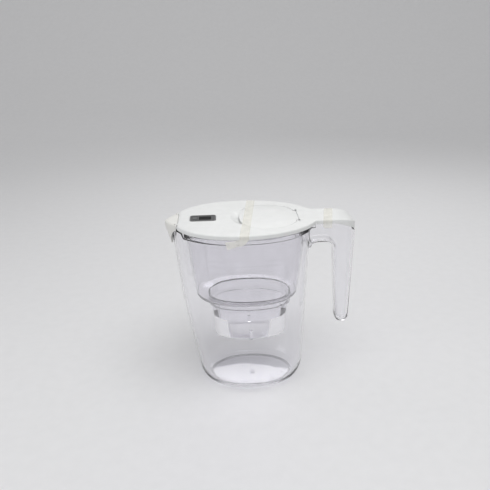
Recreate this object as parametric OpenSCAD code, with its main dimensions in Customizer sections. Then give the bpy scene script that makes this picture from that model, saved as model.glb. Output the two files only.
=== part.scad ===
// Water filter pitcher with a flip lid, 3.5 litre family size.
// X runs from the spout to the handle, Z is up, and the part is symmetric about Y = 0.
// Heights are above the table. Lengths along X are measured from the centre of the foot ring,
// and in_frame() moves the whole part so that its outer box is centred on the origin.

/* [Overall] */
// Height of the flat top of the lid above the table
lid_top = 251; // [249:0.5:254]
// Distance from the foot's centre forward to the tip of the spout flap
nose_reach = 113; // [112:0.5:115]
// Distance from the foot's centre back to the outside of the grip
grip_reach = 145.7; // [145:0.1:148]

/* [Jug] */
// Height of the rim that carries the hopper
rim_h = 238.3; // [237.5:0.1:238.4]
// Wall thickness of the jug
jug_wall = 2.4; // [2:0.1:3]
// Height where the rounded bottom ends and the side wall starts
belly_h = 32; // [26:1:40]
// Height of the foot ring
foot_h = 2.5; // [2:0.1:4]
// Length of the foot ring
foot_l = 120; // [112:1:126]
// Width of the foot ring
foot_w = 82; // [76:1:88]
// Width of the jug at its rim
rim_w = 139; // [137:0.5:140]
// How far the pouring lip stands out of the front wall
lip_out = 3; // [1:0.5:3.5]
// Height of the lower end of the grip
grip_low = 85.5; // [75:0.5:100]
// Height of the arch above the fingers
arch_h = 214; // [206:1:218]
// Width of the arm that joins the grip to the jug
arm_w = 34; // [28:1:36]

/* [Hopper] */
// Wall thickness of the hopper
hopper_wall = 2; // [1.6:0.1:2.4]
// Height of the hopper floor
hopper_floor = 141.5; // [138:0.5:146]
// Height of the bottom of the cartridge well
well_low = 74; // [70:1:80]
// Length of the cartridge well at its mouth
well_l = 112; // [108:1:114]
// Width of the cartridge well at its mouth
well_w = 74; // [70:1:76]
// Number of grip ribs on each side of the hopper's flange
rib_count = 7; // [5:1:9]

/* [Lid] */
// Half of the lid's width, without the blend into the handle cover
lid_half_w = 71.3; // [70.5:0.1:72]
// Depth of the lid's edge
lid_edge = 5.5; // [5:0.1:6]
// Wall thickness of the lid
lid_wall = 2.2; // [1.8:0.1:2.4]
// Half of the width of the handle cover
cover_half = 23.5; // [22:0.5:25]
// How far the end of the handle cover droops
cover_droop = 14; // [11:0.5:15]

/* [Fill flap] */
// Length of the fill flap
flap_l = 79.5; // [76:0.5:80]
// Width of the fill flap
flap_w = 94; // [88:1:96]
// Height of the flap's dome above its edge
flap_dome = 1.4; // [0.6:0.1:2]

/* [Spout flap] */
// Width of the spout flap at its hinge
spout_w = 56; // [54:0.5:58]
// Depth of the pointed apron at its centre
apron_h = 33.5; // [28:0.5:35]

/* [Indicator] */
// Length of the bezel
bezel_l = 35; // [34:0.5:37]
// Width of the bezel
bezel_w = 23; // [22:0.5:25]
// Diameter of the coin cell
cell_d = 16; // [12:0.5:16]
// Thickness of the coin cell
cell_h = 2; // [1.6:0.1:2]

/* [Hinges] */
// Diameter of the hinge pins
pin_d = 1.8; // [1.6:0.1:2]
// Radial running clearance of the hinge pins
pin_gap = 0.05; // [0.02:0.01:0.08]

/* [Hidden] */

// The box centre, and the number of points in one ring of each loft
centre_x = (grip_reach - nose_reach) / 2;
jug_n = 64;
hopper_n = 64;
flap_n = 56;
// A cut passes the face that it opens by this much
over = 1;
// A piece that joins another sinks into it by this much
join = 0.4;
// Gap between pieces that come apart
gap = 0.3;

// Colours as the photograph shows them
clear_tint = [0.80, 0.80, 0.88, 0.35];
hopper_tint = [0.82, 0.80, 0.92, 0.45];
white = [0.93, 0.93, 0.92];
grey = [0.50, 0.51, 0.52];

// Jug
rim_oval = [-101, 84, -9.7, rim_w / 2, 2.15];
belly_oval = [-76.5, 77, 0.5, 57.6, 2.13];
foot_oval = [-foot_l / 2, foot_l / 2 + 1, 0.5, foot_w / 2, 2.13];
foot_width = 2.6;
foot_recess = 1.8;
belly_turn = 78;
lip_half = 18;
lip_start = 195;
spout_rim_h = 244.2;
spout_rim_x = -87;
lip_notch = 9;
flange_back = 89.3;

// Handle
handle_top = 244.8;
grip_front_low = 124.2;
grip_front_high = 116.7;
grip_back_low = 143.4;
grip_half_low = 11.3;
grip_half_high = 16.5;
grip_n = 3.2;
grip_points = 40;
grip_mid = 200;
grip_full = 226;
arch_x = 100.5;
arch_half = 16.2;
arch_drop = 14;
droop_x = 118;
arm_corner = 5;
slice = 0.4;
arm_xs = [80, 84, 85.5, 88, 92, 97, 104, 109, 113, 115.5, 116.7, 122];
trough_start = 88;
cut_half = 80;
cut_high = 260;

// Hopper
flange_low = rim_h + gap;
flange_high = 244.9;
flange_oval = [-100, 87.6, -9.7, 70.1, 2.15];
hopper_front = -86;
basin_top = [-86, 77, -5, 66, 2.25];
basin_bottom = [-76, 67.5, -3.5, 56, 2.3];
basin_foot = [-71.5, 63.5, -3.5, 51.5, 2.3];
mouth_oval = [-well_l / 2, well_l / 2, 0, well_w / 2, 2.3];
well_oval = [-51.3, 51.3, 0, 28.8, 2.3];
seat_oval = [-53.3, 53.3, 0, 32.3, 2.3];
seat_h = 127;
basin_bottom_h = 148;
outlet_ledge = 5.5;
key_h = 8;
rib_start = 28;
rib_step = 2;
rib_r = 0.6;

// Lid
lid_front = -95;
lid_cx = -9.7;
lid_front_r = 91.3;
lid_back_r = 98.7;
lid_n = 2.15;
cover_start = 115;
cover_len = 28;
cover_n = 2.4;
droop_r = 25;
lid_end = 142.6;
lid_under = lid_top - lid_wall;
lid_cut_low = 236;
rib_low = 241.5;
collar_low = 242.5;
slot_start = 52;
slot_end = 67.3;
slot_half = 24;

// Fill flap and its hinge
flap_cx = 20;
flap_front = -12.5;
flap_back = flap_front + flap_l;
flap_oval = [flap_front, flap_back, flap_cx, flap_w / 2, 2.3];
flap_edge_top = lid_top - 0.1;
flap_edge_low = flap_edge_top - 2.3;
flap_axis_x = 65.4;
flap_axis_z = 249.55;
knuckle_r = 1.45;
flap_ear_y = 18.4;
ear_w = 3.2;
flap_ledge = 5;
ledge_h = 2;
ledge_top = flap_edge_low - gap;
scoop_r = 100;
scoop_circle = 40;
scoop_x = 16;

// Spout flap and its hinge
spout_axis_x = -96.6;
spout_axis_z = 249.35;
spout_half = spout_w / 2;
spout_top = 250.8;
spout_wall = 1.8;
spout_edge = 1.9;
spout_rear = -95.9;
spout_side_x = -96.5;
spout_curve = 1.35;
spout_ear_y = 19.4;
apron_least = 3.5;
apron_curve = 1.3;
apron_draft = 0.29;

// Indicator
bezel_x = -61.5;
window_x = -58.6;
window_l = 16.4;
window_w = 12.6;
button_x = -72.3;
button_d = 7;
body_l = bezel_l - 2.6;
body_w = bezel_w - 2.6;
body_wall = 1.3;
bezel_top = lid_top + 0.3;
bezel_flange = 1.4;
case_low = 239.6;
seal_h = 244.4;
board_top = seal_h + 1;
board_h = 1.2;
lcd_low = board_top + 2.1;
lcd_glass = 0.8;
strip_l = 16;
strip_w = 1.8;
strip_y = 5.6;
dome_r = 2.75;
dome_rise = 0.42;
dome_h = 0.14;

function sgn(v) = v < 0 ? -1 : 1;
function mix(a, b, t) = a + (b - a) * t;
function clamp01(t) = max(0, min(1, t));
function smooth(t) = let (u = clamp01(t)) u * u * (3 - 2 * u);

// An oval is [front x, back x, x of its widest point, half width, exponent]
function inset(o, d) = [o[0] + d, o[1] - d, o[2], o[3] - d, o[4]];
function oval_x(o, a) = o[2] + (cos(a) < 0 ? o[0] - o[2] : o[1] - o[2]) * pow(abs(cos(a)), 2 / o[4]);
function oval_y(o, a) = sgn(sin(a)) * o[3] * pow(abs(sin(a)), 2 / o[4]);
function ring(o, z, n) = [for (i = [0 : n - 1]) let (a = 360 * i / n) [oval_x(o, a), oval_y(o, a), z]];
function flat(points) = [for (p = points) [p[0], p[1]]];

// A ring whose front is cut off straight
function cut_ring(o, z, n, front) = [for (p = ring(o, z, n)) [max(p[0], front), p[1], z]];

// Closed solid through rings of equal point counts, with flat ends
module skin(rings) {
    n = len(rings[0]);
    last = len(rings) - 1;
    sides = [for (i = [0 : last - 1]) for (j = [0 : n - 1]) let (m = (j + 1) % n)
        each [[i * n + j, (i + 1) * n + j, (i + 1) * n + m], [i * n + j, (i + 1) * n + m, i * n + m]]];
    start = [for (j = [0 : n - 1]) j];
    end = [for (j = [n - 1 : -1 : 0]) last * n + j];
    polyhedron([for (r = rings) each r], concat([start], sides, [end]), convexity = 8);
}

// Closed solid through rings that return to the first one, open through the middle
module skin_loop(rings) {
    n = len(rings[0]);
    k = len(rings);
    sides = [for (i = [0 : k - 1]) for (j = [0 : n - 1]) let (m = (j + 1) % n, u = (i + 1) % k)
        each [[i * n + j, u * n + j, u * n + m], [i * n + j, u * n + m, i * n + m]]];
    polyhedron([for (r = rings) each r], sides, convexity = 8);
}

// Sheet with a thickness: outer and inner grids of points, joined round their edges
module sheet(outer, inner) {
    rows = len(outer);
    cols = len(outer[0]);
    all_outer = rows * cols;
    grid = [for (i = [0 : rows - 2]) for (j = [0 : cols - 2])
        let (a = i * cols + j, b = a + 1, c = a + cols + 1, d = a + cols)
        each [[a, d, c], [a, c, b], [all_outer + a, all_outer + c, all_outer + d],
            [all_outer + a, all_outer + b, all_outer + c]]];
    edge = concat([for (j = [0 : cols - 1]) j],
        [for (i = [1 : rows - 1]) i * cols + cols - 1],
        [for (j = [cols - 2 : -1 : 0]) (rows - 1) * cols + j],
        [for (i = [rows - 2 : -1 : 1]) i * cols]);
    rim = [for (k = [0 : len(edge) - 1]) let (p = edge[k], q = edge[(k + 1) % len(edge)])
        each [[p, q, all_outer + q], [p, all_outer + q, all_outer + p]]];
    polyhedron([for (g = [outer, inner]) for (r = g) each r], concat(grid, rim), convexity = 8);
}

module in_frame() {
    translate([-centre_x, 0, 0]) children();
}

// Rectangle with round corners, centred
module plate(l, w, r, h) {
    linear_extrude(h) difference() {
        square([l, w], center = true);
        for (sx = [-1, 1], sy = [-1, 1]) translate([sx * (l / 2 - r), sy * (w / 2 - r)]) difference() {
            translate([sx * r, sy * r]) square(2 * r, center = true);
            circle(r = r, $fn = 48);
        }
    }
}

// Jug wall: the oval at height z, with the pouring lip pushed out of its front
function wall_t(z) = (z - belly_h) / (rim_h - belly_h);
function wall_oval(z) = let (t = wall_t(z)) [
    mix(belly_oval[0], rim_oval[0], sin(90 * min(t, 1))), mix(belly_oval[1], rim_oval[1], t),
    mix(belly_oval[2], rim_oval[2], t), mix(belly_oval[3], rim_oval[3], t), rim_oval[4]];
function lip(z, p) = p[0] < 0 && abs(p[1]) < lip_half
    ? lip_out * smooth((z - lip_start) / (rim_h - lip_start)) * pow(cos(90 * p[1] / lip_half), 2) : 0;
function wall_ring(z, d) = [for (p = ring(inset(wall_oval(z), d), z, jug_n)) [p[0] - lip(z, p), p[1], z]];

// Rounded bottom: u runs from the foot at 0 to the wall at 1
function belly_s(u) = sin(belly_turn * u) / sin(belly_turn);
function belly_z(u, low) = mix(low, belly_h, (1 - cos(belly_turn * u)) / (1 - cos(belly_turn)));
function belly_ring(u, low, d) = let (s = belly_s(u), w = wall_oval(belly_h))
    ring(inset([for (k = [0 : 4]) mix(foot_oval[k], w[k], s)], d), belly_z(u, low), jug_n);

wall_zs = [belly_h, 62, 94, 126, 158, 190, 212, 228, spout_rim_h];
belly_us = [0 : 0.2 : 0.81];

module jug_outside() {
    foot_inside = inset(foot_oval, foot_width);
    foot = [ring(foot_inside, foot_recess, jug_n), ring(foot_inside, 0, jug_n), ring(foot_oval, 0, jug_n)];
    skin(concat(foot, [for (u = belly_us) belly_ring(u, foot_h, 0)], [for (z = wall_zs) wall_ring(z, 0)]));
}

module jug_inside() {
    skin(concat([for (u = belly_us) belly_ring(u, foot_h + jug_wall, jug_wall)],
        [for (z = wall_zs) wall_ring(z, jug_wall)], [wall_ring(spout_rim_h + over, jug_wall)]));
}

// Grip: rounded sections at height z, smaller where the lower end closes
function grip_half(z) = mix(grip_half_low, grip_half_high, (z - grip_low) / (rim_h - grip_low));
function grip_oval(z, d) = let (
    front = mix(grip_front_low, grip_front_high, (z - grip_low) / (grip_mid - grip_low)),
    back = mix(grip_back_low, grip_reach, clamp01((z - grip_low) / (grip_full - grip_low))))
    [front + d, back - d, (front + back) / 2, grip_half(z) - d, grip_n];
function grip_round(h) = 8 * (1 - sqrt(1 - pow(1 - clamp01(h / 10), 2)));
grip_steps = [0, 1, 3, 6, 10];
function grip_zs(low, high) = concat([for (h = grip_steps) low + h], [150, grip_mid, grip_full, high]);
function grip_rings(low, high, d) = [for (z = grip_zs(low, high))
    ring(grip_oval(z, d + grip_round(z - low)), z, grip_points)];

// Arm: slices across the trough that joins the grip to the jug
function arch_z(x) = let (u = min(1, abs(x - arch_x) / arch_half))
    arch_h - (x < arch_x ? arch_drop / 2 : arch_drop) * (1 - pow(1 - pow(u, 2.6), 1 / 2.6));
function arm_half(x) = arm_w / 2 + 2.5 * smooth((97 - x) / 15);
module arm_slice(x, d) {
    r = arm_corner - d;
    low = arch_z(x) + d;
    half = arm_half(x) - d;
    translate([x, 0, low]) {
        translate([0, -half, r]) cube([slice, 2 * half, handle_top + over - low - r]);
        for (s = [-1, 1]) translate([0, s * (half - r), r]) rotate([0, 90, 0])
            cylinder(r = r, h = slice, $fn = 24);
    }
}
module arm(d, first) {
    xs = [for (x = arm_xs) if (x >= first) x];
    for (i = [0 : len(xs) - 2]) hull() {
        arm_slice(xs[i], d);
        arm_slice(xs[i + 1], d);
    }
}

// The handle's rim follows the drooping end of the handle cover
rim_r = droop_r - lid_wall - 0.4;
function rim_drop(x) = let (u = clamp01((x - droop_x) / rim_r))
    (cover_droop - lid_wall) * (1 - sqrt(1 - u * u));
module above_handle() {
    start = flange_back - over;
    end = grip_reach + over;
    xs = [for (i = [0 : 10]) droop_x + rim_r * sin(9 * i)];
    rim = [for (x = xs) [x, handle_top - rim_drop(x)]];
    translate([0, cut_half / 2, 0]) rotate([90, 0, 0]) linear_extrude(cut_half)
        polygon(concat([[start, handle_top]], rim,
            [[end, handle_top - rim_drop(end)], [end, cut_high], [start, cut_high]]));
}

module jug() {
    in_frame() color(clear_tint) difference() {
        union() {
            jug_outside();
            skin(grip_rings(grip_low, handle_top + over, 0));
            difference() {
                arm(0, arm_xs[0]);
                jug_inside();
            }
        }
        jug_inside();
        difference() {
            union() {
                skin(grip_rings(grip_low + 3, handle_top + 2 * over, jug_wall));
                arm(jug_wall, trough_start);
            }
            jug_outside();
        }
        translate([spout_rim_x, -cut_half, rim_h])
            cube([flange_back - spout_rim_x, 2 * cut_half, cut_high - rim_h]);
        above_handle();
        translate([rim_oval[0], 0, spout_rim_h + 2]) rotate([0, 90, 0])
            cylinder(r = lip_notch, h = 24, center = true, $fn = 40);
    }
}

// Hopper: outside up to the flange, inside down to the outlet
function basin(t) = [for (k = [0 : 4]) mix(basin_bottom[k], basin_top[k], t)];
function basin_z(t) = mix(basin_bottom_h, flange_low, t);
basin_ts = [0, 0.12, 0.3, 0.55, 0.8, 1];
function basin_curve(t) = pow(t, 0.8);

function hopper_outside(w) = concat([
    ring(inset(well_oval, -w), well_low, hopper_n),
    ring(inset(seat_oval, -w), seat_h - w - 1, hopper_n),
    ring(inset(mouth_oval, -w), seat_h - w, hopper_n),
    ring(inset(mouth_oval, -w), hopper_floor - w - 0.8, hopper_n),
    ring(basin_foot, hopper_floor - w + 1.2, hopper_n),
    ring(inset(basin_bottom, 1.2), hopper_floor + 2.2, hopper_n)],
    [for (t = basin_ts) cut_ring(basin(basin_curve(t)), basin_z(t), hopper_n, hopper_front)]);
function hopper_flange() = [for (z = [flange_low, flange_high])
    cut_ring(flange_oval, z, hopper_n, hopper_front)];
function hopper_inside(w) = concat([ring(inset(basin_top, w), flange_high, hopper_n)],
    [for (i = [len(basin_ts) - 1 : -1 : 0]) let (t = basin_ts[i])
        ring(inset(basin(basin_curve(t)), w), basin_z(t), hopper_n)], [
    ring(inset(basin_bottom, w + 1.4), hopper_floor + 3.4, hopper_n),
    ring(inset(basin_foot, w), hopper_floor + 1.2, hopper_n),
    ring(mouth_oval, hopper_floor, hopper_n),
    ring(mouth_oval, seat_h, hopper_n),
    ring(seat_oval, seat_h - 1, hopper_n),
    ring(well_oval, well_low + w, hopper_n),
    ring(inset(well_oval, outlet_ledge), well_low + w, hopper_n),
    ring(inset(well_oval, outlet_ledge), well_low, hopper_n)]);

module hopper_shell() {
    w = hopper_wall;
    skin_loop(concat(hopper_outside(w), hopper_flange(), hopper_inside(w)));
}

// Upright ribs on the flange, each side near the handle, for the fingers that lift the hopper out
module grip_ribs() {
    for (s = [-1, 1], i = [0 : rib_count - 1]) {
        a = s * (rib_start + rib_step * i);
        hull() for (z = [flange_low + 1, flange_high - 1])
            translate([oval_x(flange_oval, a), oval_y(flange_oval, a), z]) sphere(r = rib_r, $fn = 8);
    }
}

// Keys that turn the cartridge the right way round, on the two long sides of the well
module well_keys() {
    for (s = [-1, 1]) translate([0, s * (well_oval[3] + 0.4), well_low + key_h])
        cube([4, 3, 12], center = true);
}

module hopper() {
    in_frame() color(hopper_tint) union() {
        hopper_shell();
        grip_ribs();
        well_keys();
    }
}

// Lid outline: half width at x, blended into the handle cover
lid_xs = concat([for (i = [0 : 20]) mix(lid_front, 76, (1 - cos(9 * i)) / 2)],
    [for (x = [80 : 4 : 112]) x], [for (i = [0 : 10]) cover_start + (lid_end - cover_start) * sin(9 * i)]);
function body_half(x) = let (u = (x - lid_cx) / (x < lid_cx ? lid_front_r : lid_back_r))
    abs(u) >= 1 ? 0 : lid_half_w * pow(1 - pow(abs(u), lid_n), 1 / lid_n);
function cover_end(x) = x < cover_start ? 1
    : pow(1 - pow((x - cover_start) / cover_len, cover_n), 1 / cover_n);
function lid_half(x) = let (c = cover_half * smooth((x - 20) / 50) * cover_end(x))
    pow(pow(body_half(x), 3) + pow(c, 3), 1 / 3);
function lid_z(x) = let (u = clamp01((x - droop_x) / droop_r))
    lid_top - cover_droop * (1 - sqrt(1 - u * u));
lid_outline = concat([for (x = lid_xs) [x, -lid_half(x)]],
    [for (i = [len(lid_xs) - 1 : -1 : 0]) [lid_xs[i], lid_half(lid_xs[i])]]);

function left_normal(p, q) = let (v = q - p) [-v[1], v[0]] / norm(v);
function inset_outline(d) = let (n = len(lid_outline)) [for (i = [0 : n - 1])
    let (a = left_normal(lid_outline[(i + n - 1) % n], lid_outline[i]),
        b = left_normal(lid_outline[i], lid_outline[(i + 1) % n]), m = a + b)
    lid_outline[i] + m * (2 * d / (m * m))];
function lid_ring(d, dz) = let (pts = inset_outline(d)) [for (i = [0 : len(pts) - 1])
    [pts[i][0], pts[i][1], lid_z(lid_outline[i][0]) - dz]];

// Solid through lid rings, its two ends made of flat strips that follow the droop
module lid_skin(rings) {
    n = len(rings[0]);
    last = len(rings) - 1;
    sides = [for (i = [0 : last - 1]) for (j = [0 : n - 1]) let (m = (j + 1) % n)
        each [[i * n + j, (i + 1) * n + j, (i + 1) * n + m], [i * n + j, (i + 1) * n + m, i * n + m]]];
    under = [for (j = [0 : n / 2 - 2]) each [[j, j + 1, n - 2 - j], [j, n - 2 - j, n - 1 - j]]];
    top = [for (f = under) [f[2] + last * n, f[1] + last * n, f[0] + last * n]];
    polyhedron([for (r = rings) each r], concat(under, sides, top), convexity = 8);
}

module lid_shell() {
    w = lid_wall;
    inside = [lid_ring(w + 1.4, w), lid_ring(w, w + 1), lid_ring(w, lid_edge)];
    outside = [lid_ring(0, lid_edge), lid_ring(0, 1.2), lid_ring(0.45, 0.4), lid_ring(1.6, 0)];
    lid_skin(concat(inside, outside));
}

module oval_plate(o, low, high, n) {
    translate([0, 0, low]) linear_extrude(high - low) polygon(flat(ring(o, 0, n)));
}

// Locating rib that drops inside the hopper's mouth
module locating_rib() {
    rib = inset(basin_top, hopper_wall + 0.7);
    difference() {
        oval_plate(rib, rib_low, lid_under + join, 48);
        oval_plate(inset(rib, 1.6), rib_low - over, lid_under + over, 48);
    }
}

module scoop_ball(r) {
    translate([scoop_x, 0, lid_top + sqrt(scoop_r * scoop_r - scoop_circle * scoop_circle)])
        sphere(r = r, $fn = 96);
}

module ear(x, z, y, toward) {
    translate([x, y, z]) rotate([-90, 0, 0]) cylinder(r = knuckle_r, h = ear_w, $fn = 48);
    translate([min(x, x + toward), y, z - knuckle_r]) cube([abs(toward), ear_w, 2 * knuckle_r]);
}

module pin_hole(x, z) {
    translate([x, 0, z]) rotate([90, 0, 0])
        cylinder(d = pin_d + 2 * pin_gap, h = 60, center = true, $fn = 48);
}

// What stands under the top plate: rib, ledge for the flap, bowl of the thumb scoop, indicator's collar
module lid_underside() {
    collar_h = lid_under + join - collar_low;
    locating_rib();
    oval_plate(inset(flap_oval, -2), ledge_top - ledge_h, lid_under + join, flap_n);
    intersection() {
        scoop_ball(scoop_r + lid_wall);
        translate([scoop_x, 0, lid_cut_low])
            cylinder(r = scoop_circle + 2, h = lid_under + join - lid_cut_low, $fn = 96);
    }
    translate([bezel_x, 0, collar_low]) plate(bezel_l + 2, bezel_w + 2, 4.5, collar_h);
}

// Openings: thumb scoop, flap's seat and hole, hinge slot, indicator's seat and hole, room for the spout flap
module lid_openings() {
    slot_h = ledge_top + over - lid_cut_low;
    scoop_ball(scoop_r);
    oval_plate(inset(flap_oval, -0.4), ledge_top, lid_top + over, flap_n);
    oval_plate(inset(flap_oval, flap_ledge), lid_cut_low, lid_top, flap_n);
    translate([slot_start, -slot_half, lid_cut_low]) cube([slot_end - slot_start, 2 * slot_half, slot_h]);
    translate([flap_axis_x - 4, -flap_ear_y, lid_cut_low])
        cube([slot_end - flap_axis_x + 4, 2 * flap_ear_y, lid_top + over - lid_cut_low]);
    translate([bezel_x, 0, lid_cut_low]) plate(body_l + 0.6, body_w + 0.6, 3, 20);
    translate([bezel_x, 0, bezel_top - bezel_flange - 0.1]) plate(bezel_l + 0.5, bezel_w + 0.5, 4, 5);
    translate([lid_front - over, over - spout_half, lid_cut_low])
        cube([4.5, 2 * (spout_half - over), lid_under - lid_cut_low]);
}

module lid() {
    in_frame() color(white) difference() {
        union() {
            difference() {
                union() {
                    lid_shell();
                    lid_underside();
                }
                lid_openings();
            }
            for (s = [0, 1]) mirror([0, s, 0]) {
                ear(flap_axis_x, flap_axis_z, flap_ear_y, 3);
                ear(spout_axis_x, spout_axis_z, spout_ear_y, 3);
            }
        }
        pin_hole(flap_axis_x, flap_axis_z);
        pin_hole(spout_axis_x, spout_axis_z);
    }
}

// Fill flap: domed plate with a hinge barrel at its back edge
module fill_flap_plate() {
    low = flap_edge_low;
    top = flap_edge_top;
    // Each pair is how far the ring lies inside the flap's outline, and its height
    steps = [[14, low + 0.9], [5, low + 0.5], [4, low], [0.3, low], [0, low + 0.5], [0, top - 0.8],
        [0.4, top - 0.2], [1.4, top], [8, top + flap_dome * 0.45], [18, top + flap_dome * 0.85],
        [26, top + flap_dome]];
    skin([for (p = steps) ring(inset(flap_oval, p[0]), p[1], flap_n)]);
}

// Barrel and pins of a hinge, with ears of the lid at each end
module hinge_barrel(x, z, ear_y) {
    half = ear_y - gap;
    translate([x, 0, z]) rotate([90, 0, 0]) {
        cylinder(r = knuckle_r, h = 2 * half, center = true, $fn = 48);
        cylinder(d = pin_d, h = 2 * (half + ear_w), center = true, $fn = 48);
    }
}

// Room in a flap for the lid's ears
module ear_room(x, z, ear_y) {
    for (s = [-1, 1]) translate([x, s * (ear_y + ear_w / 2), z]) cube([4.6, ear_w + 0.7, 10], center = true);
}

module fill_flap() {
    in_frame() color(white) union() {
        difference() {
            fill_flap_plate();
            translate([flap_axis_x, -slot_half, flap_edge_low - over]) cube([10, 2 * slot_half, 10]);
            ear_room(flap_axis_x, flap_axis_z, flap_ear_y);
        }
        hinge_barrel(flap_axis_x, flap_axis_z, flap_ear_y);
    }
}

// Spout flap: top, rounded edge and pointed apron as one sheet
function spout_x(a, len) = spout_side_x - len * (1 - pow(abs(a), spout_curve));
function apron_d(a) = apron_least + (apron_h - apron_least - spout_edge) * pow(1 - abs(a), apron_curve);
function apron_x(x, z) = x + apron_draft * max(0, spout_top - 8 - z);
// Row k of points across the flap: 0 to 3 go forward over its top, 4 to 8 down its apron
function spout_row(a, k, half, len, top) = let (
    x0 = spout_rear, x1 = spout_x(a, len), edge = top - spout_edge,
    low = spout_top - spout_edge - apron_d(a), z = mix(edge, low, max(0, k - 3) / 5))
    k == 0 ? [x0, a * half, top - 0.4]
    : k == 1 ? [mix(x0, x1, 0.4), a * half, top]
    : k == 2 ? [mix(x0, x1, 0.9), a * half, top - 0.6]
    : [apron_x(x1, z), a * half, z];

module spout_sheet() {
    w = spout_wall;
    len = nose_reach + spout_side_x;
    as = [for (j = [-9 : 9]) sgn(j) * pow(abs(j) / 9, 1.15)];
    outer = [for (k = [0 : 8]) [for (a = as) spout_row(a, k, spout_half, len, spout_top)]];
    inner = [for (k = [0 : 8]) [for (a = as) spout_row(a, k, spout_half - w, len - w, spout_top - w)]];
    sheet(outer, inner);
}

module spout_flap() {
    in_frame() color(white) union() {
        difference() {
            spout_sheet();
            ear_room(spout_axis_x, spout_axis_z, spout_ear_y);
        }
        hinge_barrel(spout_axis_x, spout_axis_z, spout_ear_y);
    }
}

// Indicator, a sealed module that snaps into the lid
module body_ring(low, high, wall) {
    translate([bezel_x, 0, low]) difference() {
        plate(body_l, body_w, 2.8, high - low);
        translate([0, 0, -over]) plate(body_l - 2 * wall, body_w - 2 * wall, 1.8, high - low + 2 * over);
    }
}

module indicator_bezel() {
    in_frame() color(grey) difference() {
        union() {
            translate([bezel_x, 0, bezel_top - bezel_flange]) plate(bezel_l, bezel_w, 4, bezel_flange);
            translate([bezel_x, 0, bezel_top - 2]) plate(body_l, body_w, 2.8, 1);
            body_ring(seal_h + 0.6, bezel_top - 1.5, body_wall);
        }
        translate([window_x, 0, bezel_top - 3]) plate(window_l - 1.6, window_w - 1.6, 0.8, 5);
        translate([window_x, 0, bezel_top - 1]) plate(window_l, window_w, 1.2, 2);
        translate([button_x, 0, bezel_top - 3]) cylinder(d = button_d + 0.6, h = 5, $fn = 64);
    }
}

module indicator_window() {
    in_frame() color([0.12, 0.13, 0.13, 0.6])
        translate([window_x, 0, bezel_top - 1]) plate(window_l - 0.1, window_w - 0.1, 1.1, 0.9);
}

module start_button() {
    in_frame() color([0.62, 0.63, 0.64]) translate([button_x, 0, 0]) {
        translate([0, 0, bezel_top - 2.6]) cylinder(d = button_d, h = 2.3, $fn = 64);
        translate([0, 0, bezel_top - 0.3]) cylinder(d1 = button_d, d2 = button_d - 0.8, h = 0.4, $fn = 64);
        translate([0, 0, bezel_top - 3.2]) cylinder(d = button_d + 0.9, h = 0.65, $fn = 64);
        translate([0, 0, bezel_top - 4.7]) cylinder(d = 3, h = 2, $fn = 48);
    }
}

// Profile of the snap dome, from its centre to its edge or back
function dome_side(h) = [for (i = [0 : 4]) let (r = dome_r * (h > 0 ? 4 - i : i) / 4)
    [r, h + dome_rise * cos(90 * r / dome_r)]];

module switch_dome() {
    in_frame() color("silver") translate([button_x, 0, board_top]) rotate_extrude($fn = 64)
        polygon(concat(dome_side(0), dome_side(dome_h)));
}

module lcd_panel() {
    in_frame() color([0.45, 0.5, 0.45]) translate([window_x, 0, 0]) {
        translate([0, 0, lcd_low]) plate(18, 13.4, 0.4, lcd_glass);
        translate([0, 0, lcd_low + lcd_glass]) plate(18, 12, 0.4, lcd_glass);
    }
}

module contact_strips() {
    in_frame() color([0.25, 0.25, 0.27]) for (s = [-1, 1])
        translate([window_x - strip_l / 2, s * strip_y - strip_w / 2, board_top])
            cube([strip_l, strip_w, lcd_low - board_top]);
}

module circuit_board() {
    in_frame() color([0.1, 0.4, 0.2]) difference() {
        translate([bezel_x, 0, board_top - board_h])
            plate(body_l - 2 * body_wall - 0.4, body_w - 2 * body_wall - 0.4, 1.6, board_h);
        for (s = [-1, 1]) translate([bezel_x + 12.8, 6.4 * s, board_top - board_h - over])
            cylinder(d = 1.6, h = 4, $fn = 32);
    }
}

// Spring contact: a strip with a raised tongue and two feet
module cell_clip(z, up) {
    translate([bezel_x, 0, z]) {
        translate([0, 0, 0.15]) cube([13, 4, 0.3], center = true);
        for (s = [-1, 1]) translate([s * 6, 0, 0.15]) cube([1.6, 7, 0.3], center = true);
        translate([0, 0, up ? 0.25 : -0.2]) cylinder(d = 2.4, h = 0.25, $fn = 32);
    }
}

module cell_clip_upper() {
    in_frame() color("silver") cell_clip(seal_h - 0.6, false);
}

module coin_cell() {
    in_frame() color("gainsboro") translate([bezel_x, 0, seal_h - 0.85 - cell_h]) {
        cylinder(d = cell_d - 1.6, h = cell_h, $fn = 96);
        translate([0, 0, 0.35]) cylinder(d = cell_d, h = cell_h - 0.35, $fn = 96);
    }
}

module cell_clip_lower() {
    in_frame() color("silver") cell_clip(seal_h - 1.4 - cell_h, true);
}

module case_seal() {
    in_frame() color([0.15, 0.15, 0.15]) body_ring(seal_h, seal_h + 0.6, 1.2);
}

module indicator_case() {
    in_frame() color([0.85, 0.85, 0.84]) union() {
        body_ring(case_low, seal_h, body_wall);
        translate([bezel_x, 0, case_low]) plate(body_l - 1, body_w - 1, 2.4, 1.3);
    }
}

jug();
hopper();
lid();
fill_flap();
spout_flap();
indicator_bezel();
indicator_window();
start_button();
switch_dome();
lcd_panel();
contact_strips();
circuit_board();
cell_clip_upper();
coin_cell();
cell_clip_lower();
case_seal();
indicator_case();
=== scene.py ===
from collections import namedtuple
from math import copysign, cos, hypot, pi, radians, sin, sqrt

import bmesh
import bpy
from bpy.props import FloatProperty, FloatVectorProperty, PointerProperty
from mathutils import Matrix, Vector


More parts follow.
